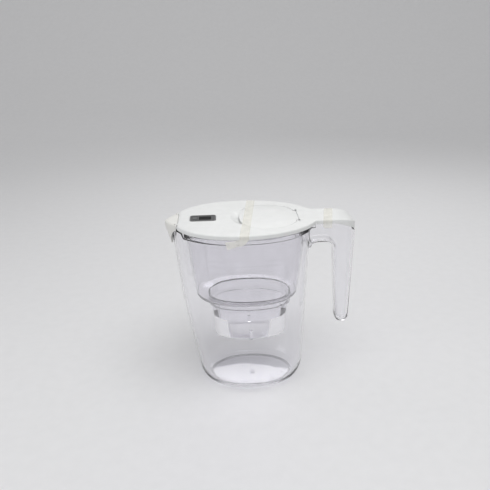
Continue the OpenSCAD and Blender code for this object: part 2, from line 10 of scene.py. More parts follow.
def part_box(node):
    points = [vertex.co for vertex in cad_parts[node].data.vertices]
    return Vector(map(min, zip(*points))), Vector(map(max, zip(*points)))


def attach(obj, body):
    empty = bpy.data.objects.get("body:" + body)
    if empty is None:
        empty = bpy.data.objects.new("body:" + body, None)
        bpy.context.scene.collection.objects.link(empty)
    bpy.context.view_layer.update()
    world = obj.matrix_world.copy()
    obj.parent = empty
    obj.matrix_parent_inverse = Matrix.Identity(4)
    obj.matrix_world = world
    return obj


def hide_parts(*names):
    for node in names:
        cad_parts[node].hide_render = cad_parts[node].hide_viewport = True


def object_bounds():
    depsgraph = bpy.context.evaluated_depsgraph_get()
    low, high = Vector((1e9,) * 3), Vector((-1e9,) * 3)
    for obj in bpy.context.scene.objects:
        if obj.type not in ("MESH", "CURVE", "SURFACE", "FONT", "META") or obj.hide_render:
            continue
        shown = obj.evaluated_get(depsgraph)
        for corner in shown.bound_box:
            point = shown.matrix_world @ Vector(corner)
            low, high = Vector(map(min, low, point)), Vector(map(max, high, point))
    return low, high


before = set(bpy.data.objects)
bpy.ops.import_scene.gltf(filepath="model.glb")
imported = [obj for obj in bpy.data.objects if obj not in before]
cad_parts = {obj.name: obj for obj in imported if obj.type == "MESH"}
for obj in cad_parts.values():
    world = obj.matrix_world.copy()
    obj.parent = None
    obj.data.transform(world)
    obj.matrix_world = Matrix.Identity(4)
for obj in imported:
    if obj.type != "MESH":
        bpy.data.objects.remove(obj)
cad_low, cad_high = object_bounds()

bl_info = {
    "name": "Water Filter Pitcher",
    "version": (1, 0, 0),
    "blender": (4, 5, 0),
    "location": "View3D > Sidebar > Pitcher",
    "description": "Dresses a clear filter pitcher: jug, hopper, lid, flaps, indicator, tape and studio",
    "category": "Add Mesh",
}

MM = 0.001
TAU = 2 * pi
RING = 192          # points round the clear jug and hopper
WELD = 0.002 * MM   # points closer than this, in metres, are one point
# Below, lengths are in millimetres and X is measured from the centre of the foot ring, as on a drawing
NOSE_REACH = 113    # X of the spout flap's tip, forwards
CENTRE_X = -NOSE_REACH - cad_low.x / MM


def length(text, mm, low, high):
    """A length that a user may change, given here in millimetres."""
    return FloatProperty(description=text, default=mm * MM, min=low * MM, max=high * MM, unit='LENGTH',
                         precision=4)


def colour(text, *rgb):
    """A surface colour that a user may change."""
    return FloatVectorProperty(description=text, default=rgb, min=0, max=1, size=3, subtype='COLOR')


def number(text, value, low, high):
    """A plain number that a user may change."""
    return FloatProperty(description=text, default=value, min=low, max=high)


class PitcherJug(bpy.types.PropertyGroup):
    rim: length("Height of the rim that carries the hopper", 238.3, 237.5, 238.4)
    spout_rim: length("Height of the rim beside the pouring notch", 244.2, 243, 244.4)
    wall: length("Wall thickness of the jug and its handle", 2.4, 2, 3)
    belly: length("Height where the rounded bottom ends", 32, 26, 40)
    foot: length("Height of the foot ring", 2.5, 2, 4)
    foot_width: length("Width of the foot ring's flat", 2.6, 2, 4)
    lip_out: length("How far the pouring lip stands out", 3, 1, 3.5)
    grip_low: length("Height of the grip's lower end", 85.5, 75, 100)
    arch: length("Height of the arch above the fingers", 214, 206, 218)


class PitcherHopper(bpy.types.PropertyGroup):
    wall: length("Wall thickness of the hopper", 2, 1.6, 2.4)
    floor: length("Height of the hopper's floor", 141.5, 138, 146)
    seat: length("Height of the cartridge's seat", 127, 124, 130)
    well_low: length("Height of the cartridge well's bottom", 74, 70, 80)
    ledge: length("Width of the ledge round the outlet", 5.5, 4, 7)
    fillet: length("Radius where the moulded walls turn", 1.1, 0.4, 2)


class PitcherLid(bpy.types.PropertyGroup):
    top: length("Height of the lid's flat top", 251, 249, 254)
    half: length("Half of the lid's width", 71.3, 70.5, 72)
    edge: length("Depth of the lid's edge", 5.5, 5, 6)
    wall: length("Wall thickness of the lid", 2.2, 1.8, 2.4)
    round: length("Radius of the lid's upper edge", 1.6, 0.8, 2)
    cover_half: length("Half of the handle cover's width", 24, 22, 25)
    droop: length("How far the handle cover's end droops", 10, 8, 12)
    skirt: length("How much deeper the edge gets at the end of the handle cover", 5, 3, 6)
    dome: length("Height of the fill flap's dome", 1.4, 0.6, 2)
    apron: length("Depth of the spout flap's pointed apron", 33.5, 28, 35)


class PitcherIndicator(bpy.types.PropertyGroup):
    length: length("Length of the bezel", 35, 34, 37)
    width: length("Width of the bezel", 23, 22, 25)
    recess: length("How deep the bezel's face lies in its rim", 0.35, 0.2, 0.5)
    button: length("Diameter of the start button", 7, 6, 8)


class PitcherTape(bpy.types.PropertyGroup):
    width: length("Width of the packing tape", 12, 9, 13)
    thick: length("Thickness of the packing tape", 0.12, 0.08, 0.2)


class PitcherFinish(bpy.types.PropertyGroup):
    jug: colour("Tint of the jug's clear plastic", 0.972, 0.970, 0.984)
    hopper: colour("Tint of the hopper's clear plastic", 0.962, 0.955, 0.980)
    lid: colour("White of the lid and fill flap", 0.77, 0.78, 0.775)
    cap: colour("Warm white of the spout flap", 0.77, 0.765, 0.735)
    bezel: colour("Grey of the indicator's raised rim", 0.14, 0.143, 0.145)
    face: colour("Darker grey of the bezel's recessed face", 0.05, 0.052, 0.052)
    button: colour("Grey of the start button", 0.13, 0.133, 0.135)
    tape: colour("Cream of the packing tape", 0.96, 0.95, 0.89)
    floor: colour("Pale floor of the studio", 0.80, 0.80, 0.81)


class PitcherStage(bpy.types.PropertyGroup):
    key: number("Power of the large lamp above, in watts", 7, 0, 100)
    fill: number("Power of the soft lamp at the left, in watts", 2.5, 0, 100)
    rim: number("Power of the strip lamp behind, in watts", 2.5, 0, 100)
    sky: number("Strength of the even light from all round", 0.52, 0, 2)


GROUPS = {"jug": PitcherJug, "hopper": PitcherHopper, "lid": PitcherLid, "indicator": PitcherIndicator,
          "tape": PitcherTape, "finish": PitcherFinish, "stage": PitcherStage}


def settings(group):
    """One property group of this scene."""
    return getattr(bpy.context.scene, "pitcher_" + group)


class Sizes:
    """The lengths of one property group, in millimetres."""

    def __init__(self, group):
        self.group = group

    def __getattr__(self, key):
        return getattr(settings(self.group), key) / MM


JUG, HOPPER, LID, INDICATOR, TAPE = map(Sizes, ("jug", "hopper", "lid", "indicator", "tape"))


# Small sums

def mix(a, b, t):
    return a + (b - a) * t


def clamp(t):
    return max(0.0, min(1.0, t))


def smooth(t):
    t = clamp(t)
    return t * t * (3 - 2 * t)


def signed_power(v, p):
    return copysign(abs(v) ** p, v)


def span(a, b, count):
    """Even steps from a to b, both ends included."""
    return [mix(a, b, i / (count - 1)) for i in range(count)]


# An oval: front and back X, the X of its widest point, half width and roundness
Oval = namedtuple("Oval", "front back middle half power")


def inset(o, d):
    return Oval(o.front + d, o.back - d, o.middle, o.half - d, o.power)


def between(a, b, t):
    return Oval(*[mix(u, v, t) for u, v in zip(a, b)])


def oval_point(o, angle):
    c = cos(angle)
    reach = o.front - o.middle if c < 0 else o.back - o.middle
    return o.middle + reach * abs(c) ** (2 / o.power), o.half * signed_power(sin(angle), 2 / o.power)


def place(x, y, z):
    """A point of the drawing in the shared frame, in metres."""
    return Vector(((x - CENTRE_X) * MM, y * MM, z * MM))


def turns(count):
    """Even angles of a full turn."""
    return [TAU * i / count for i in range(count)]


def ring(o, z, count=RING):
    return [place(*oval_point(o, a), z) for a in turns(count)]


def circle(x, y, z, radius, count):
    return [place(x + radius * cos(a), y + radius * sin(a), z) for a in turns(count)]


def rounded(profile, radius, steps=4):
    """A profile with short curves for corners. Its points end in half width, roundness and height."""
    def apart(p, q):
        return hypot(p[-3] - q[-3], p[-1] - q[-1]) + 1e-6

    def along(p, q, d):
        return [mix(u, v, d / apart(p, q)) for u, v in zip(p, q)]

    out = [list(profile[0])]
    for a, b, c in zip(profile, profile[1:], profile[2:]):
        start = along(b, a, min(radius, apart(a, b) / 2))
        end = along(b, c, min(radius, apart(b, c) / 2))
        for k in range(steps + 1):
            t = k / steps
            out.append([(1 - t) ** 2 * p + 2 * t * (1 - t) * q + t * t * r for p, q, r in zip(start, b, end)])
    return out + [list(profile[-1])]


# Modelling helpers

def deselect():
    bpy.ops.object.select_all(action='DESELECT')


def activate(obj):
    deselect()
    obj.select_set(True)
    bpy.context.view_layer.objects.active = obj


def added(name, operator, **values):
    """The object that an operator adds, with its name."""
    deselect()
    operator(**values)
    obj = bpy.context.object
    obj.name = obj.data.name = name
    return obj


def in_edit_mode(obj, work):
    """Runs work on the whole mesh in edit mode."""
    activate(obj)
    bpy.ops.object.mode_set(mode='EDIT')
    bpy.ops.mesh.select_all(action='SELECT')
    work()
    bpy.ops.object.mode_set(mode='OBJECT')


def close_up():
    bpy.ops.mesh.remove_doubles(threshold=WELD)
    bpy.ops.mesh.fill_holes(sides=0)
    bpy.ops.mesh.normals_make_consistent(inside=False)


def strip_ends(obj, rows, count):
    """Closes both ends of a wrapped grid with strips between points that face each other across the end."""
    shape = bmesh.new()
    shape.from_mesh(obj.data)
    shape.verts.ensure_lookup_table()
    for row in (0, rows - 1):
        v = shape.verts[row * (count + 1):(row + 1) * (count + 1)]
        for j in range(count // 2 - 1):
            shape.faces.new((v[j], v[j + 1], v[count - 2 - j], v[count - 1 - j]))
    shape.to_mesh(obj.data)
    shape.free()


def loft(name, rings, closed=False, strips=False):
    """A grid wrapped round the rings, one row of its points on each, then welded and closed."""
    count = len(rings[0])
    rows = len(rings) + closed
    obj = added(name, bpy.ops.mesh.primitive_grid_add, x_subdivisions=count, y_subdivisions=rows - 1, size=1)
    points = [rings[j % len(rings)][i % count] for j in range(rows) for i in range(count + 1)]
    if len(points) != len(obj.data.vertices):
        raise RuntimeError(f"the grid for {name} has another size than its rings")
    obj.data.vertices.foreach_set("co", [c for p in points for c in p])
    if strips:
        strip_ends(obj, rows, count)
    in_edit_mode(obj, close_up)
    return obj


def apply_modifier(obj, kind, **values):
    modifier = obj.modifiers.new(kind.title(), kind)
    for key, value in values.items():
        setattr(modifier, key, value)
    activate(obj)
    bpy.ops.object.modifier_apply(modifier=modifier.name)


def combine(obj, operation, *tools):
    """Cuts the tools from obj, joins them to it, or keeps what they share, and removes them."""
    for tool in tools:
        apply_modifier(obj, 'BOOLEAN', operation=operation, solver='EXACT', object=tool)
        bpy.data.objects.remove(tool)
        if not obj.data.polygons:
            raise RuntimeError(f"nothing is left of {obj.name}")
    return obj


def cut(obj, *tools):
    return combine(obj, 'DIFFERENCE', *tools)


def join(obj, *tools):
    return combine(obj, 'UNION', *tools)


def block(name, low, high):
    """A box between two corners of the drawing."""
    obj = added(name, bpy.ops.mesh.primitive_cube_add, size=1)
    a, b = place(*low), place(*high)
    for v in obj.data.vertices:
        v.co = Vector(mix(a[k], b[k], v.co[k] + 0.5) for k in range(3))
    return obj


def rod(name, x, y, z, radius, half, across=True, points=64):
    """A rod centred on a point of the drawing: across the part, or upright."""
    obj = added(name, bpy.ops.mesh.primitive_cylinder_add, vertices=points, radius=radius * MM,
                depth=2 * half * MM)
    turn = Matrix.Rotation(pi / 2, 4, 'X') if across else Matrix.Identity(4)
    obj.data.transform(Matrix.Translation(place(x, y, z)) @ turn)
    return obj


def paint(obj, slot):
    obj.data.materials.clear()
    obj.data.materials.append(material(slot))


def wear(obj, body, slot, node, angle=30):
    """Finishes a piece: smooth shading between crisp edges, material, body and the node it stands for."""
    activate(obj)
    bpy.ops.object.shade_smooth_by_angle(angle=radians(angle))
    apply_modifier(obj, 'WEIGHTED_NORMAL', keep_sharp=True)
    paint(obj, slot)
    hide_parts(node)
    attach(obj, body)


# Shared finishes: shader node groups

def fill(socket, value):
    """Sets an input to a value, or links it to another socket."""
    if isinstance(value, bpy.types.NodeSocket):
        socket.id_data.links.new(value, socket)
    else:
        socket.default_value = value


def plug(node, **values):
    """Fills inputs of a node by name. Their spaces are written as underscores."""
    for key, value in values.items():
        fill(node.inputs[key.replace("_", " ")], value)
    return node


def wire(node, *values):
    """Fills the first inputs of a node, in order."""
    for socket, value in zip(node.inputs, values):
        fill(socket, value)
    return node


def add(owner, kind, **values):
    """A node in a tree, or in the tree of a socket, with some of its properties and inputs set."""
    node = owner.id_data.nodes.new("ShaderNode" + kind)
    for key in [key for key in values if hasattr(node, key)]:
        setattr(node, key, values.pop(key))
    return plug(node, **values)


def group(name, inputs, outputs):
    """A new shader node group with float sockets: its tree, the sockets that come in, and its output node."""
    tree = bpy.data.node_groups.new(name, 'ShaderNodeTree')
    for socket, value in inputs.items():
        tree.interface.new_socket(socket, in_out='INPUT', socket_type='NodeSocketFloat').default_value = value
    for socket in outputs:
        tree.interface.new_socket(socket, in_out='OUTPUT', socket_type='NodeSocketFloat')
    return tree, tree.nodes.new('NodeGroupInput').outputs, tree.nodes.new('NodeGroupOutput')


def calc(a, operation, b):
    """A sum on a socket and another socket or a number."""
    return wire(add(a, 'Math', operation=operation), a, b).outputs[0]


def object_space(tree):
    return add(tree, 'TexCoord').outputs['Object']


def noise(vector, scale, detail):
    return add(vector, 'TexNoise', Vector=vector, Scale=scale, Detail=detail).outputs['Fac']


def stretched(vector, *scale):
    return add(vector, 'Mapping', Vector=vector, Scale=scale).outputs[0]


def threshold(value, low, high):
    """0 up to low and 1 from high on, or the other way round where high is the smaller."""
    return add(value, 'MapRange', Value=value, From_Min=low, From_Max=high).outputs[0]


def spread(mask, low, high):
    """A mask turned into a number from low to high."""
    return add(mask, 'MapRange', Value=mask, To_Min=low, To_Max=high).outputs[0]


def mixed(mask, a, b):
    """Colour a where the mask is 0, b where it is 1."""
    node = add(mask, 'Mix', data_type='RGBA')
    for index, value in ((0, mask), (6, a), (7, b)):   # the colour sockets of the node's many
        fill(node.inputs[index], value)
    return node.outputs[2]


def ramp(mask, low, high):
    """A mask turned into a colour: low up to 0.3, high from 0.7."""
    node = wire(add(mask, 'ValToRGB'), mask)
    for element, where, rgb in zip(node.color_ramp.elements, (0.3, 0.7), (low, high)):
        element.position = where
        element.color = (*rgb, 1)
    return node.outputs[0]


def shade_of(rgb, factor):
    return [min(1.0, c * factor) for c in rgb]


def mottled(mask, rgb, low, high):
    """A colour that a mask makes darker and brighter by two factors."""
    return ramp(mask, shade_of(rgb, low), shade_of(rgb, high))


def relief(height, distance, strength=1.0):
    """Bump of a height, with its distance in millimetres."""
    return add(height, 'Bump', Height=height, Distance=distance * MM, Strength=strength).outputs[0]


def moulding_group(name):
    """Surface of an injection moulding: soft waves from cooling, fine grain, and faint flow marks."""
    tree, start, end = group(name, {"Grain Scale": 2500.0, "Grain": 0.2, "Waves": 1.0}, ("Height", "Mottle"))
    where = object_space(tree)
    waves = calc(noise(where, 38.0, 1.0), 'MULTIPLY', start['Waves'])
    grain = calc(noise(where, start['Grain Scale'], 2.0), 'MULTIPLY', start['Grain'])
    flow = noise(stretched(where, 30, 30, 9), 3.0, 4.0)
    plug(end, Height=calc(waves, 'ADD', grain), Mottle=flow)
    return tree


def scratch_group(name):
    """Hairline scratches in two directions, broken up in patches as handling leaves them."""
    tree, start, end = group(name, {"Amount": 0.5}, ("Mask",))
    where = object_space(tree)
    patch = threshold(noise(where, 26.0, 2.0), 0.46, 0.66)
    lines = [threshold(noise(stretched(where, *scale), 1.0, 1.0), 0.70, 0.76)
             for scale in ((900, 40, 60), (60, 1100, 40))]
    mask = calc(calc(lines[0], 'MAXIMUM', lines[1]), 'MULTIPLY', patch)
    plug(end, Mask=calc(mask, 'MULTIPLY', start['Amount']))
    return tree


def dust_group(name):
    """Fine dust specks that settle on what faces up."""
    tree, start, end = group(name, {"Amount": 0.3, "Speck Scale": 900.0}, ("Mask",))
    coord = add(tree, 'TexCoord').outputs
    up = wire(add(tree, 'SeparateXYZ'), coord['Normal']).outputs['Z']
    cells = add(tree, 'TexVoronoi', Vector=coord['Object'], Scale=start['Speck Scale']).outputs['Distance']
    speck = threshold(cells, 0.10, 0.03)
    haze = calc(noise(coord['Object'], 20.0, 3.0), 'MULTIPLY', 0.35)
    mask = calc(calc(speck, 'ADD', haze), 'MULTIPLY', threshold(up, 0.2, 0.9))
    plug(end, Mask=calc(mask, 'MULTIPLY', start['Amount']))
    return tree


FINISHES = {"Moulded Surface": moulding_group, "Hairline Scratches": scratch_group,
            "Settled Dust": dust_group}


def use(tree, name, **values):
    """A shared finish, built once, placed in a material with its own values."""
    node = tree.nodes.new('ShaderNodeGroup')
    node.node_tree = bpy.data.node_groups.get(name) or FINISHES[name](name)
    return plug(node, **values).outputs


# Materials: each of these fills the Principled shader of a new material

def clear_plastic(tree, bsdf, rgb, haze):
    """Clear moulded plastic. Rays towards lamps pass it, tinted, so that it throws a light shadow."""
    mould = use(tree, "Moulded Surface", Grain=0.02, Waves=1.0)
    marks = use(tree, "Hairline Scratches", Amount=1.0)
    plug(bsdf, Transmission_Weight=1.0, IOR=1.54, Base_Color=mottled(mould['Mottle'], rgb, 0.985, 1.01),
         Roughness=spread(marks['Mask'], haze, haze + 0.16),
         Normal=relief(mould['Height'], 0.05, 0.35))
    through = add(tree, 'BsdfTransparent', Color=(*shade_of(rgb, 0.97), 1))
    shadow = add(tree, 'LightPath').outputs['Is Shadow Ray']
    blend = wire(add(tree, 'MixShader'), shadow, bsdf.outputs[0], through.outputs[0])
    plug(tree.nodes['Material Output'], Surface=blend.outputs[0])


def moulded_plastic(tree, bsdf, rgb, roughness=0.34, grain=0.25, dust=0.3, scratches=0.5):
    """Opaque moulded plastic: even colour with a faint mottle, fine texture, hairlines and a little dust."""
    mould = use(tree, "Moulded Surface", Grain=grain, Waves=0.6)
    marks = use(tree, "Hairline Scratches", Amount=scratches)['Mask']
    specks = use(tree, "Settled Dust", Amount=dust)['Mask']
    clean = mottled(mould['Mottle'], rgb, 0.965, 1.015)
    worn = calc(marks, 'ADD', specks)
    plug(bsdf, IOR=1.5, Base_Color=mixed(specks, clean, (0.55, 0.54, 0.52, 1)),
         Roughness=spread(worn, roughness, roughness + 0.3), Normal=relief(mould['Height'], 0.03, 0.4))


def two_tone(tree, bsdf, rgb, face):
    """The bezel: moulded plastic whose recessed face is printed darker than its raised rim."""
    moulded_plastic(tree, bsdf, rgb, 0.5, 1.0, 0.1, 0.3)
    base = bsdf.inputs['Base Color']
    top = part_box("indicator_bezel")[1].z
    height = wire(add(tree, 'SeparateXYZ'), object_space(tree)).outputs['Z']
    raised = threshold(height, top - 0.2 * MM, top - 0.1 * MM)
    fill(base, mixed(raised, (*face, 1), base.links[0].from_socket))


def brushed_metal(tree, bsdf, rgb, roughness):
    """Plated or bright sheet metal with rolling lines."""
    lines = noise(stretched(object_space(tree), 60, 2600, 900), 1.0, 3.0)
    plug(bsdf, Metallic=1.0, Base_Color=mottled(lines, rgb, 0.86, 1.05),
         Roughness=spread(lines, roughness - 0.08, roughness + 0.14), Normal=relief(lines, 0.01))


def rubber(tree, bsdf, rgb):
    """Soft key or seal rubber: matte, with a fine bloom."""
    mould = use(tree, "Moulded Surface", Grain=1.0, Waves=0.3)
    specks = use(tree, "Settled Dust", Amount=0.5)
    plug(bsdf, Base_Color=mottled(mould['Mottle'], rgb, 0.85, 1.2),
         Roughness=spread(specks['Mask'], 0.62, 0.85), Normal=relief(mould['Height'], 0.06, 0.6))


def laminate(tree, bsdf, rgb):
    """Solder-masked circuit board with the weave of its glass cloth and copper tracks under the mask."""
    where = object_space(tree)
    weave = add(tree, 'TexChecker', Vector=where, Scale=1400.0).outputs['Fac']
    tracks = add(tree, 'TexBrick', Vector=where, Scale=260.0).outputs['Fac']
    copper = calc(tracks, 'GREATER_THAN', 0.5)
    height = calc(calc(weave, 'MULTIPLY', 0.2), 'ADD', copper)
    plug(bsdf, Base_Color=mottled(copper, rgb, 1.0, 1.7), Roughness=spread(copper, 0.34, 0.22),
         Normal=relief(height, 0.02))


def smoked_window(tree, bsdf):
    """Smoked clear window over the display."""
    marks = use(tree, "Hairline Scratches", Amount=0.8)
    mould = use(tree, "Moulded Surface", Grain=0.02, Waves=0.4)
    plug(bsdf, Transmission_Weight=0.6, IOR=1.2, Specular_IOR_Level=0.1,
         Base_Color=ramp(mould['Mottle'], (0.010, 0.010, 0.010), (0.014, 0.014, 0.014)),
         Roughness=spread(marks['Mask'], 0.05, 0.25), Normal=relief(mould['Height'], 0.02, 0.3))


def display_glass(tree, bsdf):
    """Unlit display: dark glass with a faint sheen of its polariser."""
    film = noise(stretched(object_space(tree), 90, 900, 90), 1.0, 2.0)
    plug(bsdf, Specular_IOR_Level=0.12,
         Base_Color=ramp(film, (0.016, 0.017, 0.017), (0.022, 0.024, 0.023)),
         Roughness=spread(film, 0.06, 0.14), Normal=relief(film, 0.01, 0.3))


def packing_tape(tree, bsdf, rgb):
    """Thin translucent film with a cream tint, small wrinkles and trapped air."""
    where = object_space(tree)
    wrinkle = noise(stretched(where, 520, 120, 200), 1.0, 5.0)
    air = threshold(noise(where, 60.0, 2.0), 0.4, 0.7)
    plug(bsdf, Base_Color=mottled(wrinkle, rgb, 0.98, 1.02), Alpha=spread(air, 0.42, 0.55),
         Roughness=spread(wrinkle, 0.30, 0.5), Normal=relief(wrinkle, 0.06, 0.3))


def stage_paper(tree, bsdf, rgb):
    """Matte stage paper with a faint grain."""
    grain = noise(object_space(tree), 60.0, 4.0)
    plug(bsdf, Base_Color=mottled(grain, rgb, 0.985, 1.01), Roughness=spread(grain, 0.7, 0.85))


# Each slot's material: its name, how it is made, and with what. A word is a colour of the finish group
MATERIALS = {
    "jug_clear": ("Clear jug plastic", clear_plastic, "jug", 0.012),
    "hopper_clear": ("Clear hopper plastic", clear_plastic, "hopper", 0.02),
    "lid_white": ("White lid plastic", moulded_plastic, "lid"),
    "cap_white": ("Warm white plastic", moulded_plastic, "cap", 0.38),
    "bezel_grey": ("Grey bezel plastic", two_tone, "bezel", "face"),
    "window_smoke": ("Smoked window", smoked_window),
    "button_grey": ("Grey key rubber", rubber, "button"),
    "lcd_dark": ("Unlit display", display_glass),
    "contact_metal": ("Plated spring metal", brushed_metal, (0.72, 0.70, 0.66), 0.28),
    "strip_black": ("Contact strip rubber", rubber, (0.02, 0.02, 0.022)),
    "board_green": ("Green board laminate", laminate, (0.02, 0.10, 0.045)),
    "cell_steel": ("Bright cell steel", brushed_metal, (0.74, 0.74, 0.74), 0.2),
    "seal_rubber": ("Black seal rubber", rubber, (0.015, 0.015, 0.015)),
    "case_white": ("Module plastic", moulded_plastic, (0.66, 0.66, 0.64), 0.5, 0.8, 0.2, 0.2),
    "tape": ("Packing tape", packing_tape, "tape"),
    "floor": ("Stage paper", stage_paper, "floor"),
}


def material(slot):
    """The material of a slot, or of the tape or the floor, built once."""
    name, recipe, *values = MATERIALS[slot]
    made = bpy.data.materials.get(name)
    if made is None:
        made = bpy.data.materials.new(name)
        made.use_nodes = True
        values = [getattr(settings("finish"), v) if isinstance(v, str) else v for v in values]
        recipe(made.node_tree, made.node_tree.nodes['Principled BSDF'], *values)
    return made


# Jug

RIM_OVAL = Oval(-101, 84, -9.7, 69.5, 2.15)
BELLY_OVAL = Oval(-76.5, 77, 0.5, 57.6, 2.13)
FOOT_OVAL = Oval(-60, 61, 0.5, 41, 2.13)
BELLY_TURN = radians(78)
LIP_HALF = 18
LIP_START = 195
NOTCH = 9
SHOULDER = 225       # the wall is regular below this height
SPOUT_RIM_X = -87
FLANGE_BACK = 89.3
HANDLE_TOP = 244.8
ABOVE = 262               # height above everything that joins the handle
GRIP_FRONT_LOW = 124.2    # X of the grip's front at its lower end
GRIP_FRONT_HIGH = 116.7   # and at GRIP_FRONT_TOP
GRIP_FRONT_TOP = 200
GRIP_BACK_LOW = 143.4     # X of the grip's back at its lower end
GRIP_BACK = 145.7         # and from GRIP_BACK_TOP up
GRIP_BACK_TOP = 226
ARCH_X = 100.5
ARCH_HALF = 16.2
ARCH_DROP = 14
RIM_DROOP = 22
RIM_DROOP_X = 105
RIM_DROOP_LENGTH = 42.6


def wall_oval(z):
    t = (z - JUG.belly) / (JUG.rim - JUG.belly)
    o = between(BELLY_OVAL, RIM_OVAL, t)
    front = mix(BELLY_OVAL.front, RIM_OVAL.front, sin(pi / 2 * min(t, 1)))
    return Oval(front, o.back, o.middle, o.half, RIM_OVAL.power)


def lip(x, y, z):
    """How far the pouring lip pushes the wall forward."""
    if x > 0 or abs(y) > LIP_HALF:
        return 0.0
    rise = smooth((z - LIP_START) / (JUG.rim - LIP_START))
    return JUG.lip_out * rise * cos(pi / 2 * y / LIP_HALF) ** 2


def rim_at(x, y):
    """Height of the rim: low under the hopper's flange, higher beside the pouring notch."""
    raised = mix(JUG.rim, JUG.spout_rim, smooth((SPOUT_RIM_X - x) / 1.2))
    if x < SPOUT_RIM_X and abs(y) < NOTCH:
        raised = min(raised, JUG.spout_rim + 2 - sqrt(NOTCH ** 2 - y ** 2))
    return raised


def wall_row(nominal, d, drop=0.0):
    """A ring of the wall. Above the shoulder its height is stretched up to the rim."""
    row = []
    for a in turns(RING):
        z = nominal
        for _ in range(2):
            x, y = oval_point(inset(wall_oval(z), d), a)
            if nominal > SHOULDER:
                reach = (nominal - SHOULDER) / (JUG.rim - SHOULDER)
                z = SHOULDER + reach * (rim_at(x, y) - drop - SHOULDER)
        row.append(place(x - lip(x, y, z), y, z))
    return row


def belly_ring(u, low, d):
    """A ring of the rounded bottom: u runs from the foot at 0 to the wall at 1."""
    belly = JUG.belly
    s = sin(BELLY_TURN * u) / sin(BELLY_TURN)
    z = mix(low, belly, (1 - cos(BELLY_TURN * u)) / (1 - cos(BELLY_TURN)))
    return ring(inset(between(FOOT_OVAL, wall_oval(belly), s), d), z)


def jug_body():
    w = JUG.wall
    bends = span(0, 0.95, 20)
    walls = span(JUG.belly, SHOULDER, 22) + span(SHOULDER, JUG.rim, 7)[1:]
    inside = [belly_ring(u, JUG.foot + w, w) for u in bends] + [wall_row(z, w) for z in walls[:-1]]
    rim = []
    for k in range(9):
        turn = pi * k / 8
        rim.append(wall_row(JUG.rim, w / 2 * (1 + cos(turn)), w / 2 * (1 - sin(turn))))
    outside = [wall_row(z, 0) for z in walls[-2::-1]] + [belly_ring(u, JUG.foot, 0) for u in bends[::-1]]
    edge = 0.5
    inner = inset(FOOT_OVAL, JUG.foot_width)
    foot = [ring(inset(FOOT_OVAL, d), z) for d, z in ((0, edge), (0.3 * edge, 0.3 * edge), (edge, 0))]
    foot += [ring(inset(inner, d), z) for d, z in
             ((-edge, 0), (-0.3 * edge, 0.3 * edge), (0, edge), (0, 1.4), (0.4, 1.8))]
    return loft("jug_moulding", inside + rim + outside + foot)


def grip_front(z):
    low = JUG.grip_low
    return mix(GRIP_FRONT_LOW, GRIP_FRONT_HIGH, (z - low) / (GRIP_FRONT_TOP - low))


def grip_back(z):
    low = JUG.grip_low
    return mix(GRIP_BACK_LOW, GRIP_BACK, clamp((z - low) / (GRIP_BACK_TOP - low)))


def grip_half(z):
    return mix(11.3, 16.5, (z - JUG.grip_low) / (JUG.rim - JUG.grip_low))


def handle_ring(inner, outer, half, power):
    """A ring of the handle between two points of its side view."""
    row = []
    for a in turns(72):
        u = 0.5 + 0.5 * signed_power(cos(a), 2 / power)
        row.append(place(mix(inner[0], outer[0], u), half * signed_power(sin(a), 2 / power),
                         mix(inner[1], outer[1], u)))
    return row


def handle_solid(name, d, low):
    """The handle's outside, or with d its hollow: along the arm, round the corner and down the grip."""
    corner = Vector((ARCH_X, JUG.arch - ARCH_DROP))   # the handle turns round this point
    rings = []
    for x in span(78, ARCH_X, 12)[:-1]:
        u = min(1, (ARCH_X - x) / ARCH_HALF)
        arch = JUG.arch - ARCH_DROP / 2 * (1 - (1 - u ** 2.6) ** (1 / 2.6))
        half = 17 + 2.5 * smooth((97 - x) / 15)
        rings.append(handle_ring((x, arch + d), (x, ABOVE), half - d, 5.0))
    for k in range(17):
        turn = pi / 2 * (1 - k / 16)
        c, s = cos(turn), sin(turn)
        inner = corner + Vector((ARCH_HALF * c ** (2 / 2.6), ARCH_DROP * s ** (2 / 2.6)))
        ray = (inner - corner).normalized()
        outer = Vector((GRIP_BACK, ABOVE))
        for _ in range(4):
            reach = min((grip_back(outer.y) - corner.x) / max(ray.x, 1e-6),
                        (ABOVE - corner.y) / max(ray.y, 1e-6))
            outer = corner + ray * reach
        t = k / 16
        rings.append(handle_ring(inner + ray * d, outer - ray * d, mix(17, grip_half(corner.y), t) - d,
                                 mix(5.0, 3.2, smooth(t))))
    tip = [12, 10, 8, 6, 4.5, 3, 2, 1.2, 0.6, 0.2, 0]
    for z in span(corner.y, low + 16, 12)[1:] + [low + h for h in tip]:
        d2 = d + 8 * (1 - sqrt(1 - (1 - clamp((z - low) / 10)) ** 2))
        rings.append(handle_ring((grip_front(z) + d2, z), (grip_back(z) - d2, z), grip_half(z) - d2, 3.2))
    return loft(name, rings)


def rim_drop(x):
    """How far the handle's rim lies below its top, under the drooping cover."""
    u = clamp((x - RIM_DROOP_X) / RIM_DROOP_LENGTH)
    return RIM_DROOP * (1 - sqrt(1 - u * u))


def above_handle():
    """What lies above the rims of the arm and the handle, as a block with a curved underside."""
    end = GRIP_BACK + 2
    xs = [RIM_DROOP_X + RIM_DROOP_LENGTH * sin(t) for t in span(0, pi / 2, 25)] + [end]
    rim = JUG.rim
    side = [(70, rim), (FLANGE_BACK, rim), (FLANGE_BACK + 0.01, HANDLE_TOP)]
    side += [(x, HANDLE_TOP - rim_drop(x)) for x in xs] + [(end, 270), (70, 270)]
    return loft("above_handle", [[place(x, y, z) for x, z in side] for y in (-40, 40)])


